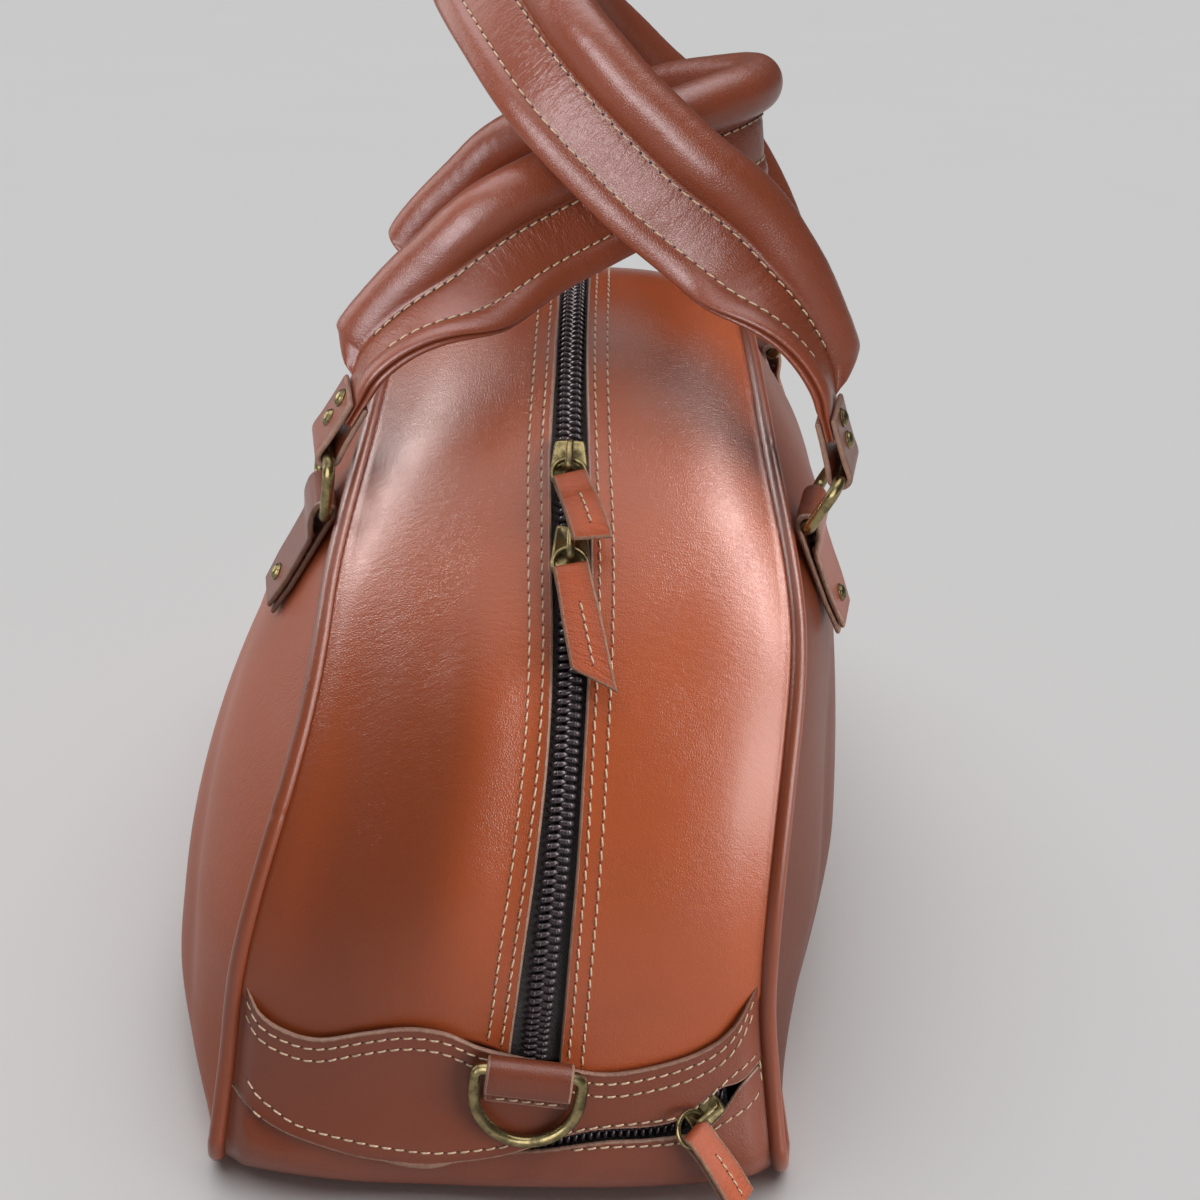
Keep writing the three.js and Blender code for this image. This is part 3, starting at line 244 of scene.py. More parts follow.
def seam_y(side, rise):
    """Seam's place across: half a width that is drawn in between foot and top and fuller at the shoulder,
    either side of a middle that shifts as the slouched body rises."""
    half = mix(FOOT_HALF, TOP_HALF, rise) - DRAWN_IN * rise * (1 - rise)
    half = half + SHOULDER * bump(rise, SHOULDER_AT, SHOULDER_SPAN)
    return mix(FOOT_SHIFT, TOP_SHIFT, smooth(rise, SHIFT_FROM, SHIFT_TO)) + side * half


def gusset(run, y, lift):
    """End and top wall: the outline at a run, raised by a flat-topped crown across it and by a lift."""
    x, z, nx, nz, rise = outline(run)
    low, high = seam_y(-1, rise) + SEAM_CLEAR, seam_y(1, rise) - SEAM_CLEAR
    t = np.clip((2 * y - low - high) / (high - low), -1, 1)
    crown = (CROWN + SHOULDER_DROP) * (1 - np.abs(t) ** CROWN_POWER) - SHOULDER_DROP
    n = smooth(rise, 0, 0.12) * crown + lift
    return np.stack(np.broadcast_arrays(x + nx * n, y, z + nz * n), -1)


def edge_y(run, side):
    """Edge of the gusset beside a seam."""
    return seam_y(side, outline(run)[4]) - side * SEAM_CLEAR


def zip_line(run, column):
    """Middle (1) or half slot (2) of the zip at a run."""
    return curve_through(ZIP_LINE, column, outline(run)[4] * END_RUN)


def boot_edge(t):
    """Run of the boot's top edge at a place across."""
    return CORNER_RUN + curve_through(BOOT_EDGE, 1, t)


def slot_line(t):
    """Run of the middle of the pocket slot at a place across."""
    return CORNER_RUN + curve_through(SLOT_LINE, 1, t)


def slot_gap(t):
    """Half of the pocket slot between its lips: shut on one side, open on the other, wider round the
    slider, and closed at both ends."""
    wide = mix(SLOT_SHUT, SLOT_OPEN, smooth(t, -0.05, 0.35)) + SLOT_AT_SLIDER * bump(t, POCKET_SLIDER_T, 0.1)
    return mix(wide, SLOT_AT_END, smooth(np.abs(t), 0.82, 0.92))


def slot_lap(t):
    """How far the upper lip laps over the lower one, where the slot is shut."""
    return smooth(t, -0.96, -0.86) * (1 - smooth(t, 0.0, 0.25))


def boot_lift(run):
    """The boot stands a step proud of the gusset up the ends, and runs flush under the base."""
    return BOOT_STEP * smooth(np.abs(run) - CORNER_RUN, 8, 40)


def boot(run, t, lift, spread=0.0):
    """Point of a boot or the base at a run and a place across from seam to seam, raised by a lift."""
    y = mix(edge_y(run, -1) - spread, edge_y(run, 1) + spread, (t + 1) / 2)
    return gusset(run, y, boot_lift(run) + lift)


def panel(key, share, run, depth):
    """Side panel at a share of the way from its middle to its rim: the seam's plane plus a swell that is
    the product of a power curve along the bag and one up it; it fades to nothing at the rim."""
    side, inset = SIDE[key], PIPING_INSET + SEAM_CLEAR
    most, power, at, below, above = SWELL[key]
    ox, oz, nx, nz, rise = outline(run)
    x, z = (ox - nx * inset) * share, mix(PANEL_Z, oz - nz * inset, share)
    up_x, up_z, up_run = OUT_X[60:], OUT_Z[60:], OUT_RUN[60:]
    level = np.clip((np.interp(z, up_z, up_run) - CORNER_RUN) / END_RUN, 0, 1)
    up = np.clip((z - inset) / (SEAM_TOP - 2 * inset), 0, 1)
    reach = np.maximum(np.interp(z + inset, up_z, up_x) - inset, 1)
    along = 1 - np.clip(np.abs(x) / reach, 0, 1) ** power
    low_part = 1 - np.abs(1 - up / at) ** below
    high_part = 1 - np.clip((up - at) / (1 - at), 0, 1) ** above
    swell = most * along * np.where(up < at, low_part, high_part)
    seam = seam_y(side, mix(level, rise, np.clip(share, 0, 1) ** 12))
    return np.stack(np.broadcast_arrays(x, seam + side * (swell + depth), z), -1)


def panel_under(key, x, z):
    """Outer face of a panel at an x and z, found along the ray from the panel's middle."""
    run = np.linspace(0, 2 * HALF_RUN, 6001)
    ox, oz, nx, nz = outline(run)[:4]
    inset = PIPING_INSET + SEAM_CLEAR
    rx, rz = ox - nx * inset, oz - nz * inset - PANEL_Z
    miss = np.abs(np.arctan2(rz, rx) - np.arctan2(z - PANEL_Z, x))
    k = np.argmin(miss)
    return panel(key, np.hypot(x, z - PANEL_Z) / np.hypot(rx[k], rz[k]), run[k], PANEL_FACE)


class Cut:
    """A piece in the making: grids of points in millimetres with their UVs, distance from the cut edge, how
    much painted shade it has there and how creased it is."""

    def __init__(self):
        self.points, self.faces, self.uv, self.marks, self.count = [], [], [], [], 0

    def grid(self, points, uv=None, rim=RIM_FAR, dark=0.0, crease=0.0):
        """Adds one grid, or a stack of like grids, each joined into quads."""
        points = np.asarray(points, float)
        rows, columns = points.shape[-3:-1]
        flat = points.reshape(-1, rows, columns, 3)
        i, j = np.meshgrid(np.arange(rows - 1), np.arange(columns - 1), indexing="ij")
        a = (i * columns + j).ravel()
        quads = np.stack([a, a + columns, a + columns + 1, a + 1], -1)
        first = self.count + np.arange(len(flat)) * rows * columns
        self.faces.append((quads[None] + first[:, None, None]).reshape(-1, 4))
        if uv is None:
            uv = np.stack(np.meshgrid(np.arange(rows), np.arange(columns), indexing="ij"), -1)
        self.uv.append(np.broadcast_to(uv, (len(flat), rows, columns, 2)).reshape(-1, 2))
        marks = [np.broadcast_to(q, (len(flat), rows, columns)).reshape(-1) for q in (rim, dark, crease)]
        self.marks.append(np.stack(marks))
        self.points.append(flat.reshape(-1, 3))
        self.count += len(self.points[-1])

    def make(self, name, look, nodes=(), body="bag", slot="leather"):
        """Puts the grids into a mesh, welds their seams and poles, turns the faces outwards, and rides it."""
        if not self.points:
            raise RuntimeError(f"{name} has no surface")
        mesh = bpy.data.meshes.new(name)
        points, faces = np.concatenate(self.points) * MM, np.concatenate(self.faces).astype(np.int32)
        mesh.vertices.add(len(points))
        mesh.vertices.foreach_set("co", points.astype(np.float32).ravel())
        mesh.loops.add(faces.size)
        mesh.loops.foreach_set("vertex_index", faces.ravel())
        mesh.polygons.add(len(faces))
        mesh.polygons.foreach_set("loop_start", np.arange(0, faces.size, 4, dtype=np.int32))
        mesh.update(calc_edges=True)
        places = np.concatenate(self.uv).astype(np.float32)[faces.ravel()] * UV_PER_MM
        mesh.uv_layers.new(name="cut").data.foreach_set("uv", places.ravel())
        for key, values in zip(MARKS, np.concatenate(self.marks, 1)):
            marked = np.minimum(values, RIM_FAR).astype(np.float32)
            mesh.attributes.new(key, "FLOAT", "POINT").data.foreach_set("value", marked)
        welded = bmesh.new()
        welded.from_mesh(mesh)
        bmesh.ops.remove_doubles(welded, verts=welded.verts, dist=WELD)
        bmesh.ops.recalc_face_normals(welded, faces=welded.faces)
        welded.to_mesh(mesh)
        welded.free()
        mesh.polygons.foreach_set("use_smooth", np.ones(len(mesh.polygons), bool))
        mesh.update()
        mesh.materials.append(finish(look))
        piece = bpy.data.objects.new(name, mesh)
        bpy.context.scene.collection.objects.link(piece)
        lit = "panel_lit" if "panel" in name else LIT_WITH.get(slot, "end_lit")
        bpy.data.collections[lit].objects.link(piece)
        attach(piece, body)
        if nodes:
            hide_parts(*nodes)
        return piece

    def make_brass(self, node, body="bag"):
        """Makes the grids a brass piece in place of one node."""
        self.make(f"{node}_brass", "antique_brass", [node], body, "antique_brass")


def fine_to_coarse(edge, fine, count, both=False):
    """Places from 0 to 1 that crowd towards the start, or towards both ends, with an even run between."""
    start = np.array(fine) / edge
    even = np.linspace(start[-1], 1 - (start[-1] if both else 0), count + 1)[1:]
    return np.concatenate([start, even, (1 - start[::-1])[1:]]) if both else np.concatenate([start, even])


def slab(cut, surface, u, v, edge, thick, uv, dark=None, crease=0.0):
    """Leather on a surface of u, v and lift: outer face, inner face, and a cut rim rounded to a half circle
    over the thickness, where edge gives each point's distance from the rim."""
    u, v = np.meshgrid(u, v, indexing="ij")
    rim = np.broadcast_to(edge(u, v), u.shape)
    inside = np.minimum(rim, thick / 2)
    drop = thick / 2 - np.sqrt(np.clip(thick * inside - inside ** 2, 0, None))
    outer, inner, places = surface(u, v, -drop), surface(u, v, drop - thick), uv(u, v)
    loop = lambda a, b: np.concatenate([a, b[:, ::-1], a[:, :1]], 1)
    # dark gives the painted shade at each u and v.
    shade = dark(u, v) if dark else 0 * u
    cut.grid(loop(outer, inner), loop(places, places), loop(rim, rim), loop(shade, shade), crease)
    for k in (0, -1):
        pair = lambda a, b: np.stack([a[k], b[k]])
        cut.grid(pair(outer, inner), pair(places, places), pair(rim, rim), pair(shade, shade), crease)


def place(f, up, out, across):
    """Point of a frame at distances up, out and across."""
    up, out, across = (np.asarray(a, float)[..., None] for a in (up, out, across))
    return f["origin"] + up * f["up"] + out * f["out"] + across * f["across"]


def eased(path, step=0.3, spread=1.2):
    """Path of points resampled evenly, and its corners eased by a running mean that keeps both ends."""
    path = np.asarray(path, float)
    s = run_along(path)
    even = np.linspace(0, s[-1], max(int(s[-1] / step), 8) + 1)
    dense = along_path(even, s, path)
    half = max(int(spread / step), 1)
    weight = np.ones(2 * half + 1) / (2 * half + 1)
    for _ in range(2):
        ends = np.concatenate([2 * dense[0] - dense[half:0:-1], dense, 2 * dense[-1] - dense[-2:-half - 2:-1]])
        dense = np.stack([np.convolve(ends[:, k], weight, "valid") for k in range(path.shape[1])], -1)
    return dense


def folded(f, path, thick, half):
    """Strip of leather along an eased path of up and out distances: u runs along it, v across, lift off its
    face. half gives half its width at a distance up. Also returns its length and its half width by u."""
    path = eased(path)
    s = run_along(path)
    run = unit(np.gradient(path, axis=0))
    wide = lambda u: half(np.interp(u * s[-1], s, path[:, 0]))

    def surface(u, v, lift):
        at = [np.interp(u * s[-1], s, column) for column in (path[:, 0], path[:, 1], run[:, 0], run[:, 1])]
        off = lift + thick / 2
        return place(f, at[0] - at[3] * off, at[1] + at[2] * off, v * half(at[0]))

    return surface, s[-1], wide


def strip(cut, f, path, thick, half, skew=0.0, crease=0.0):
    """A folded strip as leather with rounded edges all round; skew cuts its ends on a slant. Returns its
    surface, its length and its half width by u."""
    flat, long, wide = folded(f, path, thick, half)
    u = fine_to_coarse(long, STRIP_END, max(int(long / 0.7), 12), both=True)
    v = 2 * fine_to_coarse(2 * wide(0.05), CUT_RIM[:-1], 12, both=True) - 1

    def surface(u, v, lift):
        u, v = np.asarray(u, float), np.asarray(v, float)
        slant = skew * (v + 1) / 2
        return flat(mix(slant, long - slant, u) / long, v, lift)

    edge = lambda u, v: np.minimum((1 - np.abs(v)) * wide(u), np.minimum(u, 1 - u) * long)
    slab(cut, surface, u, v, edge, thick, lambda u, v: np.stack([u * long, v * wide(u)], -1), crease=crease)
    return surface, long, wide


def arc(radius, start, end, count=24):
    """Points of a circle in up and out, by angle from straight inwards."""
    a = np.linspace(start, end, count + 1)
    return np.stack([radius * np.sin(a), -radius * np.cos(a)], -1)


def wire(cut, path, radius, axis=None, sides=16, closed=True, flat=1.0):
    """Round wire along a path: circles in the plane of the side direction (path direction crossed with the
    axis) and the axis; flat scales the circle along the axis. Open wires get domed ends."""
    path = np.asarray(path, float)
    ahead = np.roll(path, -1, 0) - np.roll(path, 1, 0) if closed else np.gradient(path, axis=0)
    along = unit(ahead)
    out = unit(np.cross(along, np.broadcast_to(axis, path.shape)))
    axis = unit(np.cross(out, along))
    a = np.linspace(0, 2 * np.pi, sides + 1)[:, None]
    radii = np.full(len(path), radius, float)
    if closed:
        path, out, axis, radii = (np.concatenate([q, q[:1]]) for q in (path, out, axis, radii))
    else:
        dome = np.linspace(0, np.pi / 2, 5)[:-1]
        back, grow = (radius * np.cos(dome))[:, None], radius * np.sin(dome)
        capped = lambda q: np.concatenate([np.repeat(q[:1], 4, 0), q, np.repeat(q[-1:], 4, 0)])
        path = np.concatenate([path[:1] - along[:1] * back, path, path[-1:] + along[-1:] * back[::-1]])
        out, axis, radii = capped(out), capped(axis), np.concatenate([grow, radii, grow[::-1]])
    r = radii[:, None, None]
    points = path[:, None] + r * (np.cos(a) * out[:, None] + flat * np.sin(a) * axis[:, None])
    uv = np.stack(np.broadcast_arrays(run_along(path)[:, None], a[:, 0][None] * radius), -1)
    cut.grid(points, uv)


def turned(cut, seat, out, profile, sides=28):
    """Profile of radius and height turned about an outward direction at a seat."""
    out = unit(out)
    side = unit(np.cross(out, [0.3, 0.2, 1.0]))
    other = np.cross(out, side)
    a = np.linspace(0, 2 * np.pi, sides + 1)[None, :, None]
    r, h = np.asarray(profile, float).T[:, :, None, None]
    cut.grid(seat + h * out + r * (np.cos(a) * side + np.sin(a) * other))


class Thread:
    """Rows of hand-size stitches: capsules of thread that arch over the leather, and dark needle holes
    between, small discs of painted shade."""

    def __init__(self, sizes):
        self.thread, self.holes = Cut(), Cut()
        self.pitch, self.long, self.radius = sizes.stitch_pitch / MM, sizes.stitch_long / MM, sizes.thread / MM

    def row(self, path, normal, pitch=None, slant=0.14, aside=0.22):
        """Lays one row along a path with its surface normals: each stitch is a short tube that sinks at its
        ends and lies a little across the row; the holes sit half a pitch on, a little to one side."""
        pitch = pitch or self.pitch
        s = run_along(path)
        count = int(s[-1] / pitch)
        if count < 1:
            return
        start = (s[-1] - count * pitch) / 2

        def lay(at, up, over, run):
            p, n = along_path(at, s, path), unit(along_path(at, s, normal))
            along = unit(along_path(at + 0.4, s, path) - along_path(at - 0.4, s, path))
            p, n, along, across = (q[:, None, None] for q in (p, n, along, np.cross(n, along)))
            return p + run[..., None] * along + up[..., None] * n + over[..., None] * across

        length = self.long * pitch / self.pitch
        f, a = np.linspace(-1, 1, 9)[:, None], np.linspace(0, 2 * np.pi, 8)[None, :]
        r = self.radius * np.sqrt(np.clip(1 - f ** 6, 0, 1)) * (1 - 0.18 * f ** 2)
        up = self.radius * (0.55 - 1.5 * f ** 4) + r * np.cos(a)
        over = r * np.sin(a) + slant * f
        run = np.broadcast_to(f * length / 2, up.shape)
        uv = np.stack(np.broadcast_arrays(f * length / 2, a * self.radius), -1)
        self.thread.grid(lay((np.arange(count) + 0.5) * pitch + start, up, over, run), uv)
        ring, a = np.array([0.0, 0.3, 0.46])[:, None], np.linspace(0, 2 * np.pi, 9)[None, :]
        sunk = np.broadcast_to(np.array([0.09, 0.08, -0.25])[:, None], (3, 9))
        between = np.arange(count + 1) * pitch + start
        self.holes.grid(lay(between, sunk, ring * np.sin(a) + aside, ring * np.cos(a)))

    def make(self, name, slot="leather", body="bag"):
        """The thread and its holes as two pieces."""
        self.thread.make(f"{name}_thread", "thread", slot=slot, body=body)
        self.holes.make(f"{name}_needle_holes", "needle_hole", slot=slot, body=body)


def on_surface(surface, u, v):
    """Path and outward normals of a surface of u, v and lift along given places."""
    return surface(u, v, 0.0), unit(surface(u, v, 1.0) - surface(u, v, 0.0))


def soft(a, b, seed):
    """Slow uneven swelling about zero: six waves of unlike direction and length, added up."""
    k = np.arange(1.0, 7.0)
    turn, rate = seed * 2.4 + k * 1.9, 0.022 + 0.011 * k
    a, b = np.broadcast_arrays(np.asarray(a, float), np.asarray(b, float))
    phase = rate * (a[..., None] * np.cos(turn) + b[..., None] * np.sin(turn)) + seed * k * 1.3
    return np.sum(np.sin(phase) / np.sqrt(k), -1) / 2.4


def gusset_half(side):
    """Half of the gusset: u runs from the near boot over the top to the far one, v from the zip to the
    seam."""
    def surface(u, v, lift):
        t = side * mix(ZIP_LINE[0, 2] / FOOT_HALF, 1, v)
        start = boot_edge(t) - BOOT_TUCK
        run = mix(start, 2 * HALF_RUN - start, u)
        y = mix(zip_line(run, 1) + side * zip_line(run, 2), edge_y(run, side) + side * SEAM_LAP, v)
        free = smooth(v, 0.1, 0.5) * (1 - smooth(v, 0.75, 0.95)) * smooth(u * (1 - u), 0, 0.06)
        slump = near_slump(run, v) if side < 0 else 0
        return gusset(run, y, lift + GUSSET_SLACK * soft(run, y, 3 + side) * free + slump)
    return surface


def near_slump(run, v):
    """The front half of the near end has slumped: a soft ridge beside the zip and a hollow beside the
    seam."""
    rise = (run - CORNER_RUN) / END_RUN
    end = smooth(rise, 0.22, 0.36) * (1 - smooth(rise, 0.48, 0.66))
    ridge = SLUMP_RIDGE * bump(v, 0.3, 0.17) * smooth(v, 0, 0.18)
    return end * (ridge - SLUMP_HOLLOW * bump(v, 0.78, 0.14) * (1 - smooth(v, 0.85, 1)))


def painted_hollow_shade(run, v):
    """Painted shade in the hollow, from the shoulder down to the boot."""
    rise = (run - CORNER_RUN) / END_RUN
    middle = mix(0.68, 0.55, smooth(rise, 0.2, 0.5))
    return np.where(run < HALF_RUN, (1 - smooth(rise, 0.3, 0.8)) * bump(v, middle, 0.48), 0)


def boot_hem(t):
    """The boot is pressed down into the seam over its last few millimetres."""
    return -BOOT_HEM * smooth(np.abs(t), 0.9, 1.0)


def near_boot(u, v, lift):
    """Boot over the pocket: u from the upper lip of the slot to the top edge, v across from seam to seam."""
    low = slot_line(v) + slot_gap(v) - SLOT_LAP * slot_lap(v)
    run = mix(low, boot_edge(v), u)
    lip = LIP_LIFT * slot_lap(v) * (1 - smooth(run - low, 0, 5))
    slack = BOOT_SLACK * soft(run, END_HALF * v, 5) * (1 - v * v)
    return boot(run, v, lift + boot_hem(v) + lip + slack, SEAM_LAP)


def base_wall(u, v, lift):
    """Base strip: u from the lower lip of the slot, under the bag and up to the far boot's edge, v across."""
    run = mix(slot_line(v) - slot_gap(v), -boot_edge(v), u)
    press = smooth(np.abs(run) - CORNER_RUN, 0, 30)
    tuck = LIP_TUCK * slot_lap(v) * (1 - smooth(slot_line(v) - run, 2.5, 11))
    hem = boot_hem(v) * press - BASE_HEM * (1 - press) * smooth(np.abs(v), 0.94, 1)
    return boot(run, v, lift - tuck + hem, SEAM_LAP)


def dressed_panel(key):
    """Side panel with the slack of soft leather: u from its rim to its middle, v once round."""
    def surface(u, v, lift):
        share, run = mix(1.018, 0, u), v * 2 * HALF_RUN
        p = panel(key, share, run, PANEL_FACE)
        inside = smooth(1 - share, 0.02, 0.3)
        most, seed = PANEL_SLACK[key]
        slack = most * soft(p[..., 0] * 0.8, p[..., 2] * 0.8, seed)
        cross = (p[..., 0] - 120) * 0.8 + (p[..., 2] - 70) * 0.6
        crease = -PANEL_CREASE * bump(cross, 0, 13) * bump(p[..., 2], 75, 55)
        p[..., 1] += SIDE[key] * (lift + inside * (np.minimum(slack, PANEL_SLACK_MOST) + crease))
        return p
    return surface


def gusset_frame(run, y, lift):
    """Directions on the gusset: up along the outline, out from it, and across."""
    up = unit(gusset(run + 1, y, lift) - gusset(run - 1, y, lift))
    across = np.array([0.0, 1, 0])
    return {"origin": gusset(run, y, lift), "up": up, "out": unit(np.cross(across, up)), "across": across}


def d_frame(end):
    """The D-ring's bar: up the boot, out from it and across, at the bar's centre, with the lean of the
    ring."""
    run = CORNER_RUN + D_TAB_RISE
    spot = lambda at: gusset(np.sign(end) * np.asarray(at, float), 0.0, boot_lift(at))
    up = unit(spot(run + D_ABOVE) - spot(run - D_BELOW))
    across = np.array([0.0, end, 0])
    out = unit(np.cross(across, up))
    turn = D_TURN["near" if end > 0 else "far"]
    swing = lambda a: a * np.cos(turn) - np.cross(out, a) * np.sin(turn)
    up, across = swing(up), swing(across)
    f = np.linspace(0, 1, 9)
    foot = spot(run)
    stand = np.max((spot(run - D_FOOT * f) - foot) @ out) + GAP + HIDE_HALF + BAR_LOOP
    origin = foot + out * stand
    drop = spot(run - D_ARM - D_HALF * f) - origin
    rest = (drop @ out + D_WIRE_R + GAP) / -(drop @ up)
    return {"origin": origin, "up": up, "out": out, "across": across, "lean": np.arctan(np.max(rest))}


def anchor_frame(key, end):
    """Anchor on a panel: up the panel, out from it, across along the bag; its origin is the ring's lower
    bar."""
    x, low = end * ANCHOR_X, ANCHOR_Z - ANCHOR_LONG
    top, middle = panel_under(key, x, ANCHOR_Z), panel_under(key, x, (ANCHOR_Z + low) / 2)
    up = unit(top - panel_under(key, x, low))
    out = unit(np.cross(panel_under(key, x + 8, middle[2]) - panel_under(key, x - 8, middle[2]), up))
    out = out * np.sign(out[1] * SIDE[key])
    across = unit(np.cross(up, out))
    rise = max(float((middle - top) @ out), 0.0)
    stand = rise + GAP + HIDE_HALF + BAR_LOOP
    return {"origin": top + out * stand, "up": up, "out": out, "across": across}


def ring_frame(f, key):
    """The handle ring stands in the anchor's loop, and leans with the pull of its handle."""
    up = np.array([0.0, RING_LEAN[key], 1])
    up = unit(up - f["across"] * (up @ f["across"]))
    out = unit(np.cross(f["across"], up))
    return {"origin": f["origin"], "up": up, "out": out * np.sign(out[1] * SIDE[key]), "across": f["across"]}


def curve(points, per=60):
    """Smooth space curve through points: a cubic between each pair, with tangents weighted by the square
    root of the distances. Gives points and the distance run along them."""
    points = np.asarray(points, float)
    p = np.concatenate([[2 * points[0] - points[1]], points, [2 * points[-1] - points[-2]]])
    d = np.sqrt(np.linalg.norm(np.diff(p, axis=0), axis=1))[:, None]
    p0, p1, p2, p3, d0, d1, d2 = p[:-3], p[1:-2], p[2:-1], p[3:], d[:-2], d[1:-1], d[2:]
    m1 = ((p1 - p0) / d0 - (p2 - p0) / (d0 + d1) + (p2 - p1) / d1) * d1
    m2 = ((p2 - p1) / d1 - (p3 - p1) / (d1 + d2) + (p3 - p2) / d2) * d1
    f = np.linspace(0, 1, per, endpoint=False)[None, :, None]
    at = lambda q: q[:, None, :]
    line = (at(p1) * (2 * f ** 3 - 3 * f ** 2 + 1) + at(m1) * (f ** 3 - 2 * f ** 2 + f)
            + at(p2) * (3 * f ** 2 - 2 * f ** 3) + at(m2) * (f ** 3 - f ** 2)).reshape(-1, 3)
    line = np.concatenate([line, points[-1:]])
    return line, run_along(line)


class Handle:
    """One handle: its rings, its middle line, and its surface by distance along, width and thickness."""

    def __init__(self, key):
        self.key, self.side = key, SIDE[key]
        self.anchors = {name: anchor_frame(key, end) for name, end in ENDS.items()}
        self.rings = {name: ring_frame(f, key) for name, f in self.anchors.items()}
        self.tops = tops = {name: place(f, RING_TALL, 0, 0) for name, f in self.rings.items()}
        half, across = np.array(HANDLE_PATH[key], float), self.rings["near"]["across"]
        aim = half[0] - tops["near"]
        aim = unit(aim - across * (aim @ across))
        near = np.concatenate([tops["near"] + aim * np.array([[13.0], [22], [31]]), half[1:]])
        self.line, self.run = curve(np.concatenate([near, near[-2::-1] * [-1, 1, 1]]))
        self.long = self.run[-1]
        inward = lambda f, top: f["across"] * -np.sign(f["across"][0] * top[0])
        self.inward = [inward(self.rings[n], tops[n]) for n in ("near", "far")]

    def surface(self, run, w, t):
        """Point at a distance along the strap, w across it and t off its middle: the strap turns from flat
        on the panel to edge-up over the bag, and is pressed flat at both ends."""
        run, w, t = np.broadcast_arrays(run, w, t)
        at = lambda d: along_path(d, self.run, self.line)
        along = unit(at(run + 0.5) - at(run - 0.5))
        end = np.minimum(run, self.long - run)
        first = np.where((run < self.long / 2)[..., None], self.inward[0], self.inward[1])
        wide = mix(first, np.array(ROLL[self.key]), smooth(end, 15, 95)[..., None])
        wide = mix(wide, np.array(ROLL_TOP[self.key]), smooth(end, 115, 180)[..., None])
        wide = unit(wide - along * np.sum(wide * along, -1, keepdims=True))
        thick = np.cross(along, wide) * -self.side
        full = np.sqrt(1 - np.clip(1 - (end - 8) / 11, 0, 1) ** 2)
        fold = mix(STRAP_END_HALF, STRAP_HALF, smooth(end, 13, 60))
        from_fold = w + STRAP_HALF
        flat = (from_fold - 0.97 * np.maximum(from_fold - 24.5, 0)) * 0.85
        across = mix(flat, from_fold, full) - fold
        high = mix(np.clip(t, -STRAP_CORE_HALF, STRAP_CORE_HALF), t, full)
        return at(run) + across[..., None] * wide + high[..., None] * thick

    def end_frame(self, name):
        """Strap end at a ring: up along the strap, out from the panel, across along the ring's bar."""
        f, top = self.rings[name], self.tops[name]
        up = unit(self.line[0 if name == "near" else -1] - top)
        out = unit(np.cross(f["across"], up))
        return {"origin": top, "up": up, "out": out * np.sign(out[1] * self.side), "across": f["across"]}


def strap_section(radius):
    """Closed section of a handle as width and thickness: two folded lips with a groove between, a flat web,
    and the padded roll as a circle, met by the web in a crease."""
    upper = np.array([
        (-18.6, 0.0), (-20.8, 0.2), (-21.6, 0.55), (-22.0, 1.1), (-21.9, 1.7), (-21.4, 2.25), (-20.4, 2.75),
        (-19.0, 3.1), (-17.4, 3.2), (-15.8, 3.0), (-14.6, 2.6), (-13.8, 2.1), (-12.9, 1.8), (-12.0, 1.85),
        (-9, 1.95), (-5, 1.9), (-1, 1.75), (0.8, 1.5), (1.6, 1.3), (2.6, 1.45)])
    meets = np.arcsin(1.9 / radius)
    a = np.linspace(np.pi - meets, -np.pi + meets, 49)
    roll = np.stack([ROLL_CENTRE + radius * np.cos(a), radius * np.sin(a)], -1)
    return np.concatenate([upper, roll, upper[::-1] * [1, -1]])


def add(tree, kind, inputs=(), **settings):
    """Adds a shader node; a socket among the inputs is linked, anything else is set on the input."""
    made = tree.nodes.new("ShaderNode" + kind)
    for key, value in settings.items():
        setattr(made, key, value)
    for key, value in dict(inputs).items():
        if isinstance(value, bpy.types.NodeSocket):
            tree.links.new(value, made.inputs[key])
        else:
            made.inputs[key].default_value = value
    return made


def shades(tree, low, high, share):
    """Colour between two colours by a varying share."""
    return add(tree, "Mix", {0: share, 6: (*low, 1), 7: (*high, 1)}, data_type="RGBA").outputs[2]


def over(tree, below, colour, share):
    """Colour laid over a varying one by a varying share."""
    return add(tree, "Mix", {0: share, 6: below, 7: (*colour, 1)}, data_type="RGBA").outputs[2]


def ranged(tree, value, low, high, to_low=0.0, to_high=1.0):
    """Value eased from one range to another."""
    return add(tree, "MapRange", {0: value, 1: low, 2: high, 3: to_low, 4: to_high},
               interpolation_type="SMOOTHSTEP").outputs[0]


def maths(tree, what, a, b):
    """Sum, product or other of two values."""
    return add(tree, "Math", {0: a, 1: b}, operation=what).outputs[0]


def weighed(tree, *terms):
    """Sum of values, each times its weight."""
    total = 0.0
    for value, weight in terms:
        total = add(tree, "Math", {0: value, 1: weight, 2: total}, operation="MULTIPLY_ADD").outputs[0]
    return total


def stretched(tree, at, scale):
    """Place scaled by its own factor each way."""
    return add(tree, "VectorMath", {0: at, 1: scale}, operation="MULTIPLY").outputs[0]


def drawn_out(tree, at, turn, scale):
    """Place scaled by its own factor each way, then turned."""
    return add(tree, "Mapping", {"Vector": at, "Rotation": turn, "Scale": scale}).outputs[0]


def scaled(colour, by):
    """Colour made darker or lighter by a factor."""
    return [by * c for c in colour]


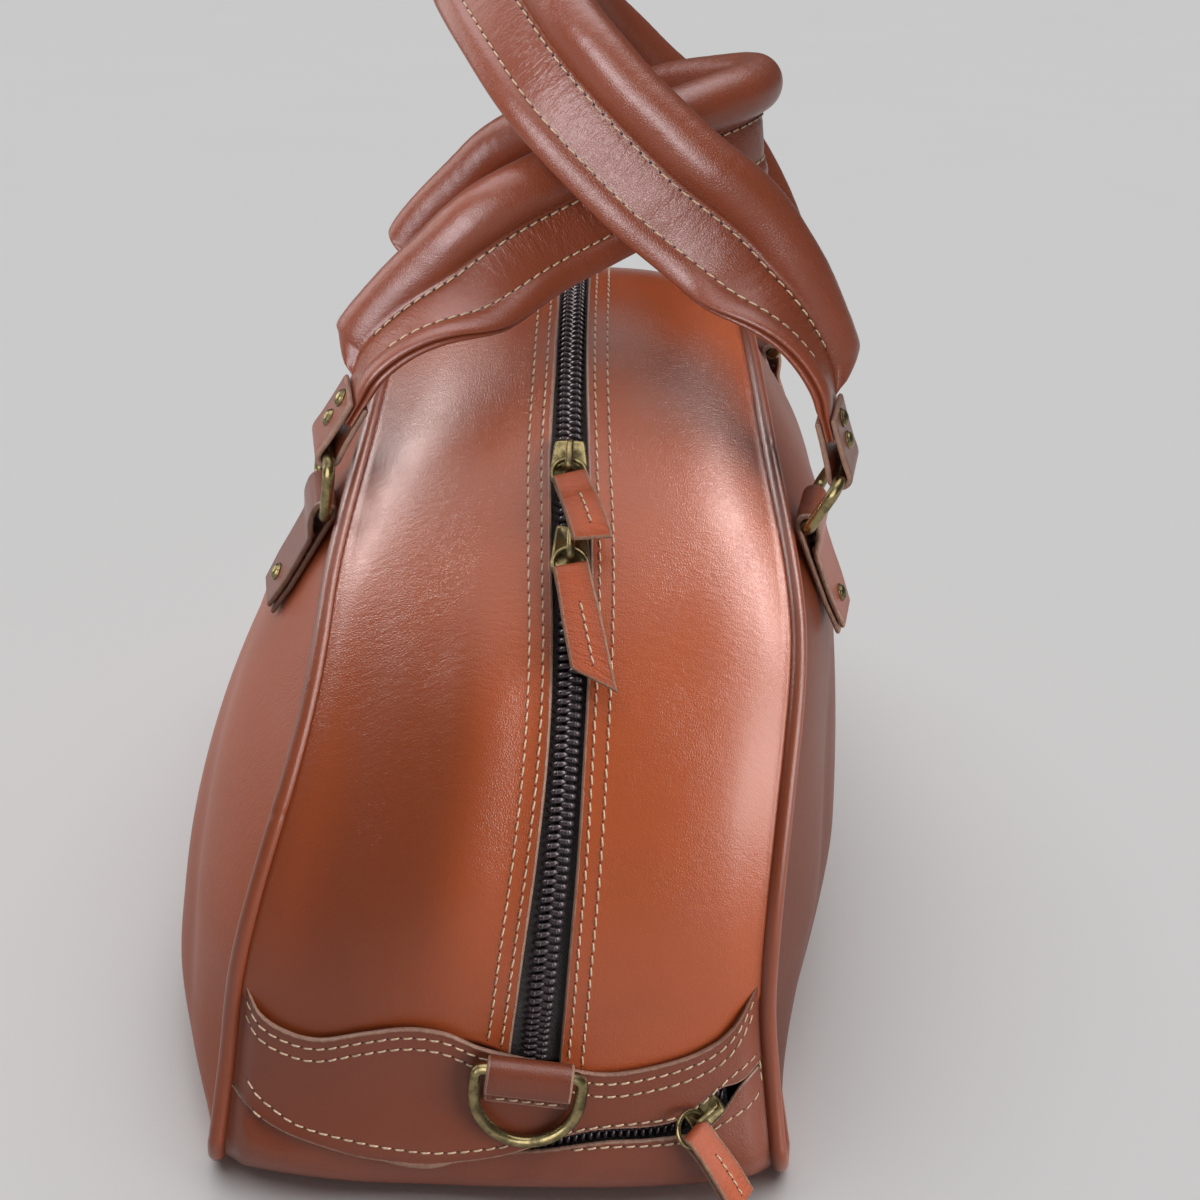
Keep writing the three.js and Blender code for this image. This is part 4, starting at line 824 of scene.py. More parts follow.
def effect(name, outputs, build):
    """Node group read at a place in space; build adds its nodes and returns its outputs in order."""
    if name in bpy.data.node_groups:
        return bpy.data.node_groups[name]
    tree = bpy.data.node_groups.new(name, "ShaderNodeTree")
    tree.interface.new_socket(name="Place", in_out="INPUT", socket_type="NodeSocketVector")
    for output in outputs:
        tree.interface.new_socket(name=output, in_out="OUTPUT", socket_type="NodeSocketFloat")
    place_in = tree.nodes.new("NodeGroupInput").outputs[0]
    end = tree.nodes.new("NodeGroupOutput")
    for socket, value in zip(end.inputs, build(tree, place_in)):
        tree.links.new(value, socket)
    return tree


def noise(tree, at, scale, detail=3.0, rough=0.55):
    """Noise by place, cycles to the metre."""
    inputs = {"Vector": at, "Scale": scale, "Detail": detail, "Roughness": rough}
    return add(tree, "TexNoise", inputs).outputs[0]


def grain_nodes(tree, at):
    """Grain: small pebbles between creases, stronger in patches, with short slanting wrinkles; patina:
    broad and small cloudy patches; crease: the lines between the pebbles; nick: sparse short scuffs, two
    ways across."""
    bend = add(tree, "TexNoise", {"Vector": at, "Scale": 260.0, "Detail": 1.0}).outputs[1]
    reach = (0.0012, 0.0012, 0.0012)
    shifted = add(tree, "VectorMath", {0: bend, 1: reach, 2: at}, operation="MULTIPLY_ADD").outputs[0]
    cells = add(tree, "TexVoronoi", {"Vector": shifted, "Scale": 1150.0}, feature="DISTANCE_TO_EDGE").outputs[0]
    wrinkle = noise(tree, drawn_out(tree, shifted, (0.6, 0.2, 0.4), (900.0, 240.0, 240.0)), 1.0, 2.0)
    patch = ranged(tree, noise(tree, at, 28.0, 1.0), 0.3, 0.75, 0.3, 0.8)
    pebble = maths(tree, "MULTIPLY", ranged(tree, cells, 0.0, 0.3), patch)
    grain = weighed(tree, (pebble, 0.6), (wrinkle, 0.9), (noise(tree, at, 2300.0, 1.0), 0.16))
    broad = ranged(tree, noise(tree, at, 11.0, 2.0, 0.5), 0.3, 0.7, 0.0, 0.4)
    small = ranged(tree, noise(tree, at, 80.0, 3.0, 0.6), 0.35, 0.72, 0.0, 0.14)
    crease = maths(tree, "MULTIPLY", ranged(tree, cells, 0.0, 0.1, 1.0, 0.0), patch)
    nick = 0.0
    for turn in ((0.3, 0.5, 0.2), (1.2, -0.4, 0.9)):
        scuff = noise(tree, drawn_out(tree, at, turn, (110.0, 1500.0, 1500.0)), 1.0, 0.0)
        nick = maths(tree, "ADD", ranged(tree, scuff, 0.74, 0.8), nick)
    return grain, maths(tree, "ADD", broad, small), crease, nick


def wrinkle_nodes(tree, at):
    """Wrinkles: thin creases across a strap, drawn from two noises that are stretched across it."""
    parts = []
    for stretch, reach, share in (((26.0, 8.0, 1.0), 0.13, 0.7), ((64.0, 26.0, 1.0), 0.16, 0.3)):
        off = maths(tree, "SUBTRACT", noise(tree, stretched(tree, at, stretch), 1.0, 2.0), 0.5)
        parts.append((ranged(tree, maths(tree, "ABSOLUTE", off, 0.0), 0.0, reach), share))
    return (weighed(tree, *parts),)


def fibre_nodes(tree, at):
    """Cut edge: fibres and pits of the hide's core."""
    return noise(tree, at, 1500.0, 2.0, 0.7), noise(tree, at, 420.0, 2.0, 0.65)


def tarnish_nodes(tree, at):
    """Old brass: cloudy dark bloom, and fine scratches."""
    cloud = ranged(tree, noise(tree, at, 190.0, 4.0, 0.65), 0.38, 0.68)
    return cloud, noise(tree, stretched(tree, at, (3400.0, 700.0, 700.0)), 1.0, 2.0)


def weave_nodes(tree, at):
    """Twill: slanted ribs across fine yarn, by distance across and along the tape."""
    slanted = {"Vector": at, "Scale": 55.0, "Distortion": 0.6, "Detail": 1.0}
    ribs = add(tree, "TexWave", slanted, bands_direction="DIAGONAL").outputs[1]
    yarn = add(tree, "TexWave", {"Vector": at, "Scale": 120.0}, bands_direction="Y").outputs[1]
    return weighed(tree, (ribs, 0.7), (yarn, 0.3)), noise(tree, at, 60.0)


def read(tree, at, name, outputs, build):
    """Outputs of an effect read at a place."""
    return add(tree, "Group", {0: at}, node_tree=effect(name, outputs, build)).outputs


def new_finish(name):
    """Empty material with its shader, and the place to read textures at."""
    made = bpy.data.materials.new(name)
    made.use_nodes = True
    tree = made.node_tree
    shader = next(n for n in tree.nodes if n.type == "BSDF_PRINCIPLED")
    return made, tree, shader, add(tree, "TexCoord").outputs["Object"]


def raised(tree, shader, height, depth, strength=1.0):
    """Raises the surface by a varying height, as a bump."""
    low = add(tree, "Bump", {"Height": height, "Distance": depth, "Strength": strength})
    tree.links.new(low.outputs[0], shader.inputs["Normal"])


def leather(name):
    """Leather: grain and patina, darker creases, painted shade where a piece is marked dark, and a raw brown core
    where a cut edge shows.
    """
    colours, depth = bpy.context.scene.bag_colours, bpy.context.scene.bag_sizes.grain
    light, darkened, rough, share, gloss, coat = LEATHERS[name]
    colour, deep = getattr(colours, light), getattr(colours, darkened)
    made, tree, shader, at = new_finish(name)
    on_cut = add(tree, "UVMap", uv_map="cut").outputs[0]
    rim, dark, creased = (add(tree, "Attribute", attribute_name=key).outputs["Fac"] for key in MARKS)
    outputs = ("Grain", "Patina", "Crease", "Nick")
    grain, patina, crease, nick = read(tree, at, "leather_grain", outputs, grain_nodes)
    fold, = read(tree, on_cut, "leather_wrinkles", ("Fold",), wrinkle_nodes)
    fibre, pits = read(tree, at, "cut_fibre", ("Fibre", "Pits"), fibre_nodes)
    cut = ranged(tree, weighed(tree, (rim, 1.0), (pits, 0.6)), 0.9, 1.35, 1.0, 0.0)
    toned = shades(tree, colour, deep, maths(tree, "MULTIPLY", patina, 0.85))
    toned = over(tree, toned, deep, ranged(tree, rim, 1.0, 4.5, 0.5, 0.0))
    # The layer by dark is painted shade: half the deep colour laid where a piece is marked dark.
    for layer, where, most in (
            (scaled(colour, 1.5), nick, 0.22), (scaled(deep, 0.5), dark, 0.74),
            (scaled(deep, 0.45), crease, 0.14)):
        toned = over(tree, toned, layer, maths(tree, "MULTIPLY", where, most))
    core = shades(tree, colours.raw_edge, scaled(colours.raw_edge, 0.35), pits)
    final = add(tree, "Mix", {0: cut, 6: toned, 7: core}, data_type="RGBA").outputs[2]
    tree.links.new(final, shader.inputs["Base Color"])
    dull = weighed(tree, (patina, 0.1), (cut, 0.35))
    tree.links.new(maths(tree, "ADD", dull, rough), shader.inputs["Roughness"])
    # Painted shade also fades the coat out, so the shaded leather loses its gloss.
    tree.links.new(ranged(tree, dark, 0.0, 0.7, coat, 0.0), shader.inputs["Coat Weight"])
    creases, fibres = maths(tree, "MULTIPLY", fold, creased), maths(tree, "MULTIPLY", fibre, cut)
    raised(tree, shader, weighed(tree, (grain, 1.0), (creases, 3.0), (fibres, 3.0)), share * depth)
    shader.inputs["Specular IOR Level"].default_value = gloss
    shader.inputs["Coat Roughness"].default_value = 0.28
    return made


def brass(name):
    """Antique brass: tarnish darkens and dulls it in clouds."""
    colours = bpy.context.scene.bag_colours
    made, tree, shader, at = new_finish(name)
    bloom, scratch = read(tree, at, "brass_tarnish", ("Bloom", "Scratch"), tarnish_nodes)
    tree.links.new(shades(tree, colours.brass, colours.brass_dark, bloom), shader.inputs["Base Color"])
    tree.links.new(ranged(tree, bloom, 0, 1, 0.24, 0.46), shader.inputs["Roughness"])
    shader.inputs["Metallic"].default_value = 1.0
    raised(tree, shader, scratch, 0.00003, 0.5)
    return made


def tape(name):
    """Zip tape: dark twill, read across and along the tape."""
    colour = bpy.context.scene.bag_colours.tape
    made, tree, shader, _ = new_finish(name)
    rib, fade = read(tree, add(tree, "UVMap", uv_map="cut").outputs[0], "twill", ("Rib", "Fade"), weave_nodes)
    tone = maths(tree, "MULTIPLY", rib, fade)
    tree.links.new(shades(tree, scaled(colour, 0.5), scaled(colour, 1.5), tone), shader.inputs["Base Color"])
    shader.inputs["Roughness"].default_value = 0.85
    shader.inputs["Sheen Weight"].default_value = 0.25
    raised(tree, shader, rib, 0.00025)
    return made


def coil(name):
    """Zip coil: dark drawn nylon, a little worn on top."""
    colour = bpy.context.scene.bag_colours.coil
    made, tree, shader, at = new_finish(name)
    worn = noise(tree, at, 300.0)
    tree.links.new(shades(tree, colour, scaled(colour, 2.2), worn), shader.inputs["Base Color"])
    shader.inputs["Roughness"].default_value = 0.28
    return made


def thread(name):
    """Waxed thread: plies twist round it, soiled in patches."""
    colour = getattr(bpy.context.scene.bag_colours, name)
    made, tree, shader, at = new_finish(name)
    soil = ranged(tree, noise(tree, at, 160.0), 0.35, 0.75, 0.0, 0.7)
    tree.links.new(shades(tree, colour, scaled(colour, 0.62), soil), shader.inputs["Base Color"])
    shader.inputs["Roughness"].default_value = 0.62
    along = add(tree, "UVMap", uv_map="cut").outputs[0]
    ply = add(tree, "TexWave", {"Vector": along, "Scale": 45.0}, bands_direction="DIAGONAL").outputs[1]
    raised(tree, shader, ply, 0.00012)
    return made


def needle_hole(name):
    """Needle hole: painted shade in the hole, a dark shade of the leather."""
    colour = bpy.context.scene.bag_colours.needle_hole
    made, tree, shader, at = new_finish(name)
    worn = noise(tree, at, 400.0)
    tree.links.new(shades(tree, colour, scaled(colour, 0.6), worn), shader.inputs["Base Color"])
    shader.inputs["Roughness"].default_value = 0.8
    return made


OTHER_FINISHES = {
    "antique_brass": brass, "zip_tape": tape, "zip_coil": coil, "thread": thread, "coil_thread": thread,
    "needle_hole": needle_hole}


def finish(name):
    """The named finish, made the first time it is asked for, under a name that the frame's own colours
    don't have."""
    made = f"{name}_finish"
    if made not in bpy.data.materials:
        maker = leather if name in LEATHERS else OTHER_FINISHES[name]
        maker(name).name = made
    return bpy.data.materials[made]


def length(name, about, default):
    """Setting for a length in metres."""
    return bpy.props.FloatProperty(
        name=name, description=about, default=default, min=0.0, precision=5, unit="LENGTH")


def colour(name, about, default):
    """Setting for a colour, linear red, green and blue."""
    return bpy.props.FloatVectorProperty(
        name=name, description=about, default=default, size=3, min=0.0, max=1.0, subtype="COLOR")


def power(name, about, default):
    """Setting for the strength of a light."""
    return bpy.props.FloatProperty(name=name, description=about, default=default, min=0.0)


class BagSizes(bpy.types.PropertyGroup):
    """Sizes of the leather, thread, zip and padding."""

    hide: length("Hide", "Thickness of the leather", 0.002)
    pull_hide: length("Pull hide", "Thickness of each layer of a zip pull", 0.0016)
    piping: length("Piping", "Radius of the piping along the seams", 0.0028)
    roll: length("Roll", "Radius of the padded roll of a handle", 0.0092)
    stitch_pitch: length("Stitch pitch", "From one needle hole to the next", 0.0041)
    stitch_long: length("Stitch length", "Visible length of one stitch", 0.0034)
    thread: length("Thread", "Radius of the thread", 0.00032)
    tooth_pitch: length("Tooth pitch", "From one bar of the zip coil to the next on the same side", 0.0026)
    ring_wire: length("Ring wire", "Radius of the wire of the handle rings and D-rings", 0.002)
    grain: length("Grain", "Depth of the leather's grain", 0.00012)


class BagColours(bpy.types.PropertyGroup):
    """Colours of the leather, thread, zip and brass."""

    leather: colour("Leather", "Body leather where it is lightest", (0.43, 0.088, 0.025))
    pull: colour("Pulls", "Leather of the zip pulls", (0.43, 0.080, 0.022))
    panel: colour("Panels", "Leather of the two side panels", (0.40, 0.083, 0.027))
    leather_deep: colour("Leather, deep", "Body leather where it has darkened", (0.30, 0.058, 0.016))
    # The boot colours are a darker copy of the leather, painted shade at the foot of the bag.
    boot: colour("Boot", "Leather of the boots and base where it is lightest", (0.205, 0.044, 0.017))
    boot_deep: colour("Boot, deep", "Leather of the boots and base where it has darkened", (0.14, 0.028, 0.010))
    piping: colour("Piping", "Piping leather", (0.20, 0.043, 0.016))
    handle: colour("Handle", "Handle leather where it is lightest", (0.255, 0.056, 0.023))
    handle_deep: colour("Handle, deep", "Handle leather where it has darkened", (0.165, 0.034, 0.013))
    raw_edge: colour("Raw edge", "Core of the leather at a cut edge", (0.42, 0.22, 0.145))
    thread: colour("Thread", "Waxed thread", (0.64, 0.47, 0.31))
    needle_hole: colour("Needle hole", "Shade in the needle holes", (0.03, 0.009, 0.005))
    tape: colour("Zip tape", "Woven tape of the zips", (0.022, 0.013, 0.014))
    coil: colour("Zip coil", "Nylon coil of the zips", (0.030, 0.020, 0.024))
    coil_thread: colour("Zip thread", "Thread that holds the coil", (0.12, 0.11, 0.115))
    brass: colour("Brass", "Brass where it is bright", (0.34, 0.27, 0.13))
    brass_dark: colour("Brass, dark", "Brass where it is tarnished", (0.12, 0.095, 0.05))


class StageSettings(bpy.types.PropertyGroup):
    """Floor, light and camera round the bag."""

    floor: colour("Floor", "Pale floor under the bag", (0.93, 0.93, 0.93))
    sky: colour("Fill", "Even light from all round", (0.1, 0.1, 0.1))
    backdrop: colour("Backdrop", "Pale wall beyond the floor", (0.6, 0.6, 0.6))
    top: power("Top light", "Strength of the soft light overhead", 1.73)
    left: power("Left light", "Strength of the soft light on the left", 1.2)
    right: power("Right light", "Strength of the soft light on the right", 3.3)
    handle: power("Handle light", "Strength of the soft light on the handles", 2.2)
    window: power("Windows", "Strength of the two windows that show in the leather's gloss", 30.0)
    handle_window: power("Handle window", "Strength of the window that shows in the handles' gloss", 24.0)
    lens: bpy.props.FloatProperty(
        name="Lens", description="Focal length for a 36 mm wide picture, in millimetres", default=44.3145,
        min=1.0)


class PanelStep(bpy.types.Operator):
    """Makes the two side panels: domed discs of soft leather with slack in them"""

    bl_idname = "bag.panels"
    bl_label = "Side panels"

    def execute(self, context):
        hide = context.scene.bag_sizes.hide / MM
        u = fine_to_coarse(150, PANEL_RIM, 46)
        u, v = np.meshgrid(u, np.linspace(0, 1, 385), indexing="ij")
        for key in SIDE:
            surface, cut = dressed_panel(key), Cut()
            outer, inner = surface(u, v, 0.0), surface(u, v, -hide)
            # Painted shade: each panel is marked darker towards the bottom.
            for sheet in (outer, inner, np.stack([outer[0], inner[0]])):
                cut.grid(sheet, sheet[..., ::2], dark=0.7 * (1 - smooth(sheet[..., 2], 15, 130)))
            cut.make(f"{key}_panel_leather", "panel_leather", [f"{key}_panel"])
        return {"FINISHED"}


def gusset_width(side, u):
    """Run along the outline and width from the zip to the seam, by the share along the gusset."""
    start = boot_edge(side * 0.2) - BOOT_TUCK
    run = mix(start, 2 * HALF_RUN - start, u)
    return run, side * (edge_y(run, side) - zip_line(run, 1)) - zip_line(run, 2) + SEAM_LAP


class GussetStep(bpy.types.Operator):
    """Makes the two halves of the gusset, each with a cut edge beside the zip, and their two rows of
    thread"""

    bl_idname = "bag.gussets"
    bl_label = "Gusset"

    def execute(self, context):
        hide = context.scene.bag_sizes.hide / MM
        for key, side in SIDE.items():
            cut, surface = Cut(), gusset_half(side)
            edge = lambda u, v: v * gusset_width(side, u)[1]
            uv = lambda u, v: np.stack([gusset_width(side, u)[0], edge(u, v)], -1)
            # The front half carries painted shade in its hollow, as its dark mark.
            dark = (lambda u, v: painted_hollow_shade(gusset_width(side, u)[0], v)) if side < 0 else None
            slab(cut, surface, np.linspace(0, 1, 321), fine_to_coarse(56, CUT_RIM, 30), edge, hide, uv, dark)
            cut.make(f"gusset_{key}_leather", "body_leather", [f"gusset_{key}"])
            sewn = Thread(context.scene.bag_sizes)
            u = np.linspace(0.004, 0.996, 900)
            for off in GUSSET_ROWS:
                sewn.row(*on_surface(surface, u, off / gusset_width(side, u)[1]), slant=0.2 * side)
            sewn.make(f"gusset_{key}")
        return {"FINISHED"}


class BootStep(bpy.types.Operator):
    """Makes the base strip and the near boot, with their cut edges, the pocket's lips and their rows of
    thread"""

    bl_idname = "bag.boots"
    bl_label = "Base and boots"

    def execute(self, context):
        hide = context.scene.bag_sizes.hide / MM
        tall = lambda v: boot_edge(v) - slot_line(v) - slot_gap(v) + SLOT_LAP * slot_lap(v)
        long = lambda v: slot_line(v) - slot_gap(v) + boot_edge(v)
        up_end = lambda u, v: mix(slot_line(v), boot_edge(v), u)
        under = lambda u, v: u * long(v)
        for node, surface, span, about, count, along in (
                ("boot_near", near_boot, tall, 35, 26, up_end),
                ("base_strip", base_wall, long, 470, 200, under)):
            cut = Cut()
            u, v = fine_to_coarse(about, CUT_RIM, count, both=True), np.linspace(-1, 1, 121)
            edge = lambda u, v: np.minimum(u, 1 - u) * span(v)
            slab(cut, surface, u, v, edge, hide, lambda u, v: np.stack([along(u, v), BOOT_HALF * v], -1))
            cut.make(f"{node}_leather", "boot_leather", [node])
        sewn = Thread(context.scene.bag_sizes)
        t = np.linspace(-0.965, 0.965, 400)
        for off in BOOT_ROWS:
            sewn.row(*on_surface(near_boot, 1 - off / tall(t), t))
            sewn.row(*on_surface(base_wall, 1 - off / long(t), t))
        on_boot = lambda t, rise: 1 - (boot_edge(t) - rise) / tall(t)
        on_base = lambda t, rise: (slot_line(t) - slot_gap(t) - rise) / long(t)
        for row, count, surface, share in (
                (POCKET_ROW, 400, near_boot, on_boot), (POCKET_FOOT_ROW, 30, near_boot, on_boot),
                (POCKET_LOW_ROW, 150, base_wall, on_base)):
            t = np.linspace(row[0, 0], row[-1, 0], count)
            sewn.row(*on_surface(surface, share(t, curve_through(row, 1, t) + CORNER_RUN), t))
        rise = np.linspace(54.5, 65, 40) + CORNER_RUN
        t = 0 * rise + 0.978
        path = lambda lift: boot(rise, t, lift + boot_hem(t), SEAM_LAP)
        sewn.row(path(0.0), path(1.0) - path(0.0))
        sewn.make("boot")
        return {"FINISHED"}


class PipingStep(bpy.types.Operator):
    """Makes the piping along both seams: a leather-covered cord, a little uneven, with the joints of its
    cover"""

    bl_idname = "bag.piping"
    bl_label = "Piping"

    def execute(self, context):
        radius = context.scene.bag_sizes.piping / MM
        run = np.linspace(0, 2 * HALF_RUN, 801)[:, None]
        a = np.linspace(0, 2 * np.pi, 23)[None]
        x, z, nx, nz, rise = outline(run)
        for key, side in SIDE.items():
            uneven = 0.025 * soft(run * 4, run * 0, 4 + side) - 0.14 * bump(run, PIPING_JOINT[key], 0.7)
            r = radius * (1.02 + uneven)
            out = -PIPING_INSET + r * np.cos(a)
            y = seam_y(side, rise) + r * np.sin(a)
            cut = Cut()
            points = np.stack(np.broadcast_arrays(x + nx * out, y, z + nz * out), -1)
            cut.grid(points, np.stack(np.broadcast_arrays(run, a * radius), -1))
            cut.make(f"piping_{key}_leather", "piping_leather", [f"piping_{key}"])
        return {"FINISHED"}


def coil_bars(cut, spot, runs, half, radius, top):
    """Bars of a zip coil, alternately from either side: each is a short tube across the zip that dives at
    its outer end. spot gives the surface point at a run, a place across and a lift."""
    side = np.where(np.arange(len(runs)) % 2, 1.0, -1.0)[:, None, None]
    f, a = np.linspace(0, 1, 11)[None, :, None], np.linspace(0, 2 * np.pi, 9)[None, None, :]
    r = radius * np.sqrt(np.clip(1 - (2 * f - 1) ** 8, 0, 1))
    across = side * mix(half, -0.2 * half, f)
    lift = top - radius - 1.2 * (1 - smooth(f, 0, 0.3)) - 0.7 * smooth(f, 0.6, 1) + r * np.cos(a)
    run = runs[:, None, None] + 0.5 * (f - 0.5) + r * np.sin(a)
    cut.grid(spot(run, across + 0 * a, lift), np.stack(np.broadcast_arrays(f * half, a), -1)[0])


def coil_stitches(cut, spot, runs, half, top):
    """Thread that holds a coil to its tape: a short stitch along the zip over each bar, on the bar's own
    side."""
    side = np.where(np.arange(len(runs)) % 2, 1.0, -1.0)[:, None, None]
    f, a = np.linspace(-1, 1, 7)[None, :, None], np.linspace(0, 2 * np.pi, 7)[None, None, :]
    r = 0.26 * np.sqrt(np.clip(1 - f ** 6, 0, 1))
    run, lift = runs[:, None, None] + 0.85 * f + 0 * a, top - 0.8 * f * f + r * np.cos(a)
    cut.grid(spot(run, side * half + r * np.sin(a), lift), np.stack(np.broadcast_arrays(f, a), -1)[0])


def zip_cloth(node, spot, half, counts, along):
    """Twill tape of a zip: spot gives its surface by the share along it, the place across and a lift, and
    along the distance at that share."""
    cloth = Cut()
    u, v = np.linspace(0, 1, counts[0]), np.linspace(-1, 1, counts[1])
    slab(cloth, lambda u, v, lift: spot(u, half * v, lift), u, v, lambda u, v: RIM_FAR, TAPE_THICK,
         lambda u, v: np.stack([half * v, along(u)], -1))
    cloth.make(f"{node}_tape", "zip_tape", [node], slot="zip_tape")


class MainZipStep(bpy.types.Operator):
    """Makes the main zip: twill tape behind the gusset's edges and a coil of bars in the slot"""

    bl_idname = "bag.main_zip"
    bl_label = "Main zip"

    def execute(self, context):
        pitch = context.scene.bag_sizes.tooth_pitch / MM
        start = boot_edge(0.0) - BOOT_TUCK
        end = 2 * HALF_RUN - start
        along = lambda u: mix(start, end, u)
        spot = lambda run, across, lift: gusset(run, zip_line(run, 1) + across, lift)
        behind = lambda u, across, lift: spot(along(u), across, lift - TAPE_DROP)
        zip_cloth("zip_main", behind, TAPE_HALF, (260, 21), along)
        bars, sewn, runs = Cut(), Cut(), np.arange(start + 1, end - 1, pitch / 2)
        coil_bars(bars, spot, runs, COIL_HALF, COIL_BAR_R, COIL_TOP)
        bars.make("zip_main_coil", "zip_coil", slot="zip_tape")
        coil_stitches(sewn, spot, runs, 0.5 * COIL_HALF, 0.05)
        sewn.make("zip_main_coil_thread", "coil_thread", slot="zip_tape")
        return {"FINISHED"}


def pocket_spot(t, up, lift):
    """Point of the pocket zip at a place across the boot, up from the slot's middle, raised from the tape."""
    run = slot_line(t) + up
    y = mix(edge_y(run, -1), edge_y(run, 1), (t + 1) / 2)
    return gusset(run, y, boot_lift(run) - TAPE_DROP - POCKET_BEHIND + lift)


class PocketZipStep(bpy.types.Operator):
    """Makes the pocket's zip behind the slot: twill tape and a fine coil"""

    bl_idname = "bag.pocket_zip"
    bl_label = "Pocket zip"

    def execute(self, context):
        behind = lambda u, up, lift: pocket_spot(mix(-POCKET_TAPE_END, POCKET_TAPE_END, u), up, lift)
        zip_cloth("zip_pocket", behind, POCKET_TAPE_HALF, (140, 15), lambda u: POCKET_TAPE_LONG * u)
        bars = Cut()
        across = lambda y, up, lift: pocket_spot(y / END_HALF, up, lift)
        runs = np.arange(POCKET_COIL_FROM, POCKET_COIL_TO, POCKET_BAR_PITCH)
        coil_bars(bars, across, runs, POCKET_COIL_HALF, POCKET_BAR_R, POCKET_COIL_TOP)
        bars.make("zip_pocket_coil", "zip_coil", slot="zip_tape")
        return {"FINISHED"}


def pocket_frame():
    """The pocket's slider: up along the slot, out from the boot, and across."""
    t = POCKET_SLIDER_T
    spot = lambda share: pocket_spot(share, 0.0, TAPE_DROP - COIL_DROP + GAP)
    along, origin = unit(spot(t + 0.03) - spot(t - 0.03)), spot(t)
    out = gusset_frame(slot_line(t), origin[1], 0.0)["out"]
    out = unit(out - along * (out @ along))
    return {"origin": origin, "up": along, "out": out, "across": unit(np.cross(out, along))}


def pocket_hang():
    """Frame of the pocket's pull ring, tilted off the boot, and the ring's centre."""
    f = dict(pocket_frame())
    f["across"] = f["across"] * np.sign(f["across"][2])
    eye = place(f, -POCKET_RING_HANG, BAIL_Z * POCKET_SLIDER_SIZE, 0)
    f["up"] = unit(f["up"] - f["out"] * POCKET_RING_TILT)
    f["out"] = unit(f["out"] - f["up"] * (f["out"] @ f["up"]))
    return f, eye - f["up"] * PULL_RING_R


def slider_frame(key):
    """A main slider on the coil at its height."""
    run = np.linspace(CORNER_RUN, HALF_RUN, 2001)
    run = run[np.argmax(gusset(run, 0.0, 0.0)[:, 2] >= SLIDER_Z[key])]
    return gusset_frame(run, zip_line(run, 1), GAP - COIL_DROP)


def slider(cut, f, size):
    """Cast slider: a waisted plate with rounded rims, raised shoulders, and a bail arched over it along the
    zip."""
    plan = np.array([
        (-8.2, 0), (-8.2, 4.6), (-7.0, 5.6), (-2.6, 5.9), (1.2, 5.5), (6.0, 4.9), (7.0, 4.6), (7.2, 0)])
    plan = eased(np.concatenate([plan, plan[-2:0:-1] * [1, -1], plan[:1]]), 0.4, 0.5)
    shape = np.array([
        (0, 0), (0.9, 0), (0.985, 0.15), (1, 0.5), (1, 1.8), (0.985, 2.3), (0.94, 2.6), (0.86, 2.62),
        (0.78, 2.3), (0, 2.25)])
    rim, high = shape[:, 0, None], shape[:, 1, None]
    cut.grid(place(f, size * rim * plan[:, 0], size * high + 0 * plan[:, 0], size * rim * plan[:, 1]))
    arch = eased([(-5.2, 1.6), (-5.2, 5.2), (-4.2, 6.4), (4.2, 6.4), (5.2, 5.2), (5.2, 1.6)], 0.4, 0.8) * size
    path = place(f, arch[:, 0], arch[:, 1], 0 * arch[:, 0])
    wire(cut, path, 0.72 * size, f["across"], closed=False, flat=1.75)


def loop(f, centre_up, centre_out, radius, count=64):
    """Circle in a frame's up and across."""
    a = np.linspace(0, 2 * np.pi, count, endpoint=False)
    return place(f, centre_up + radius * np.cos(a), centre_out + 0 * a, radius * np.sin(a))


class SliderStep(bpy.types.Operator):
    """Makes the three zip sliders and their pull rings"""

    bl_idname = "bag.sliders"
    bl_label = "Zip sliders"

    def execute(self, context):
        for key in SLIDER_Z:
            f, body, ring = slider_frame(key), Cut(), Cut()
            slider(body, f, 1.0)
            body.make_brass(f"zip_slider_{key}")
            wire(ring, loop(f, -RING_HANG - PULL_RING_R, BAIL_Z, PULL_RING_R), PULL_WIRE_R, f["out"])
            ring.make_brass(f"pull_ring_{key}")
        body, ring = Cut(), Cut()
        slider(body, pocket_frame(), POCKET_SLIDER_SIZE)
        body.make_brass("pocket_slider")
        f, centre = pocket_hang()
        f["origin"] = centre
        wire(ring, loop(f, 0.0, 0.0, PULL_RING_R), PULL_WIRE_R, f["out"])
        ring.make_brass("pull_ring_pocket")
        return {"FINISHED"}


def pull(context, key, f):
    """Zip pull: a strap folded over the lower half of its ring, two layers sewn together down the middle."""
    route, lean, half, skew = PULLS[key]
    hide, fold = context.scene.bag_sizes.pull_hide / MM, 2.2
    up = unit(f["up"] - f["across"] * lean)
    hung = {"up": up, "out": f["out"], "across": unit(-np.cross(up, f["out"]))}
    hung["origin"] = place(f, -RING_HANG - PULL_RING_R, BAIL_Z, 0) - up * fold
    route, apart = np.array(route, float) - [PULL_RING_R - fold, 0], hide / 2 + GAP / 2
    bend = arc(PULL_WIRE_R + 0.1 + hide / 2, np.pi, 0)
    path = np.concatenate([route[::-1] + [0, apart], bend, route + [1, -apart]])
    cut = Cut()
    surface = strip(cut, hung, path, hide, lambda up: half + 0.5 * smooth(-up, 2, 20), skew, 0.3)[0]
    cut.make(f"zip_pull_{key}_leather", "pull_leather", [f"zip_pull_{key}"])
    sewn = Thread(context.scene.bag_sizes)
    u = np.linspace(0.06, 0.34, 80)
    sewn.row(*on_surface(surface, u, 0 * u - 0.1), pitch=SMALL_PITCH)
    sewn.make(f"zip_pull_{key}")


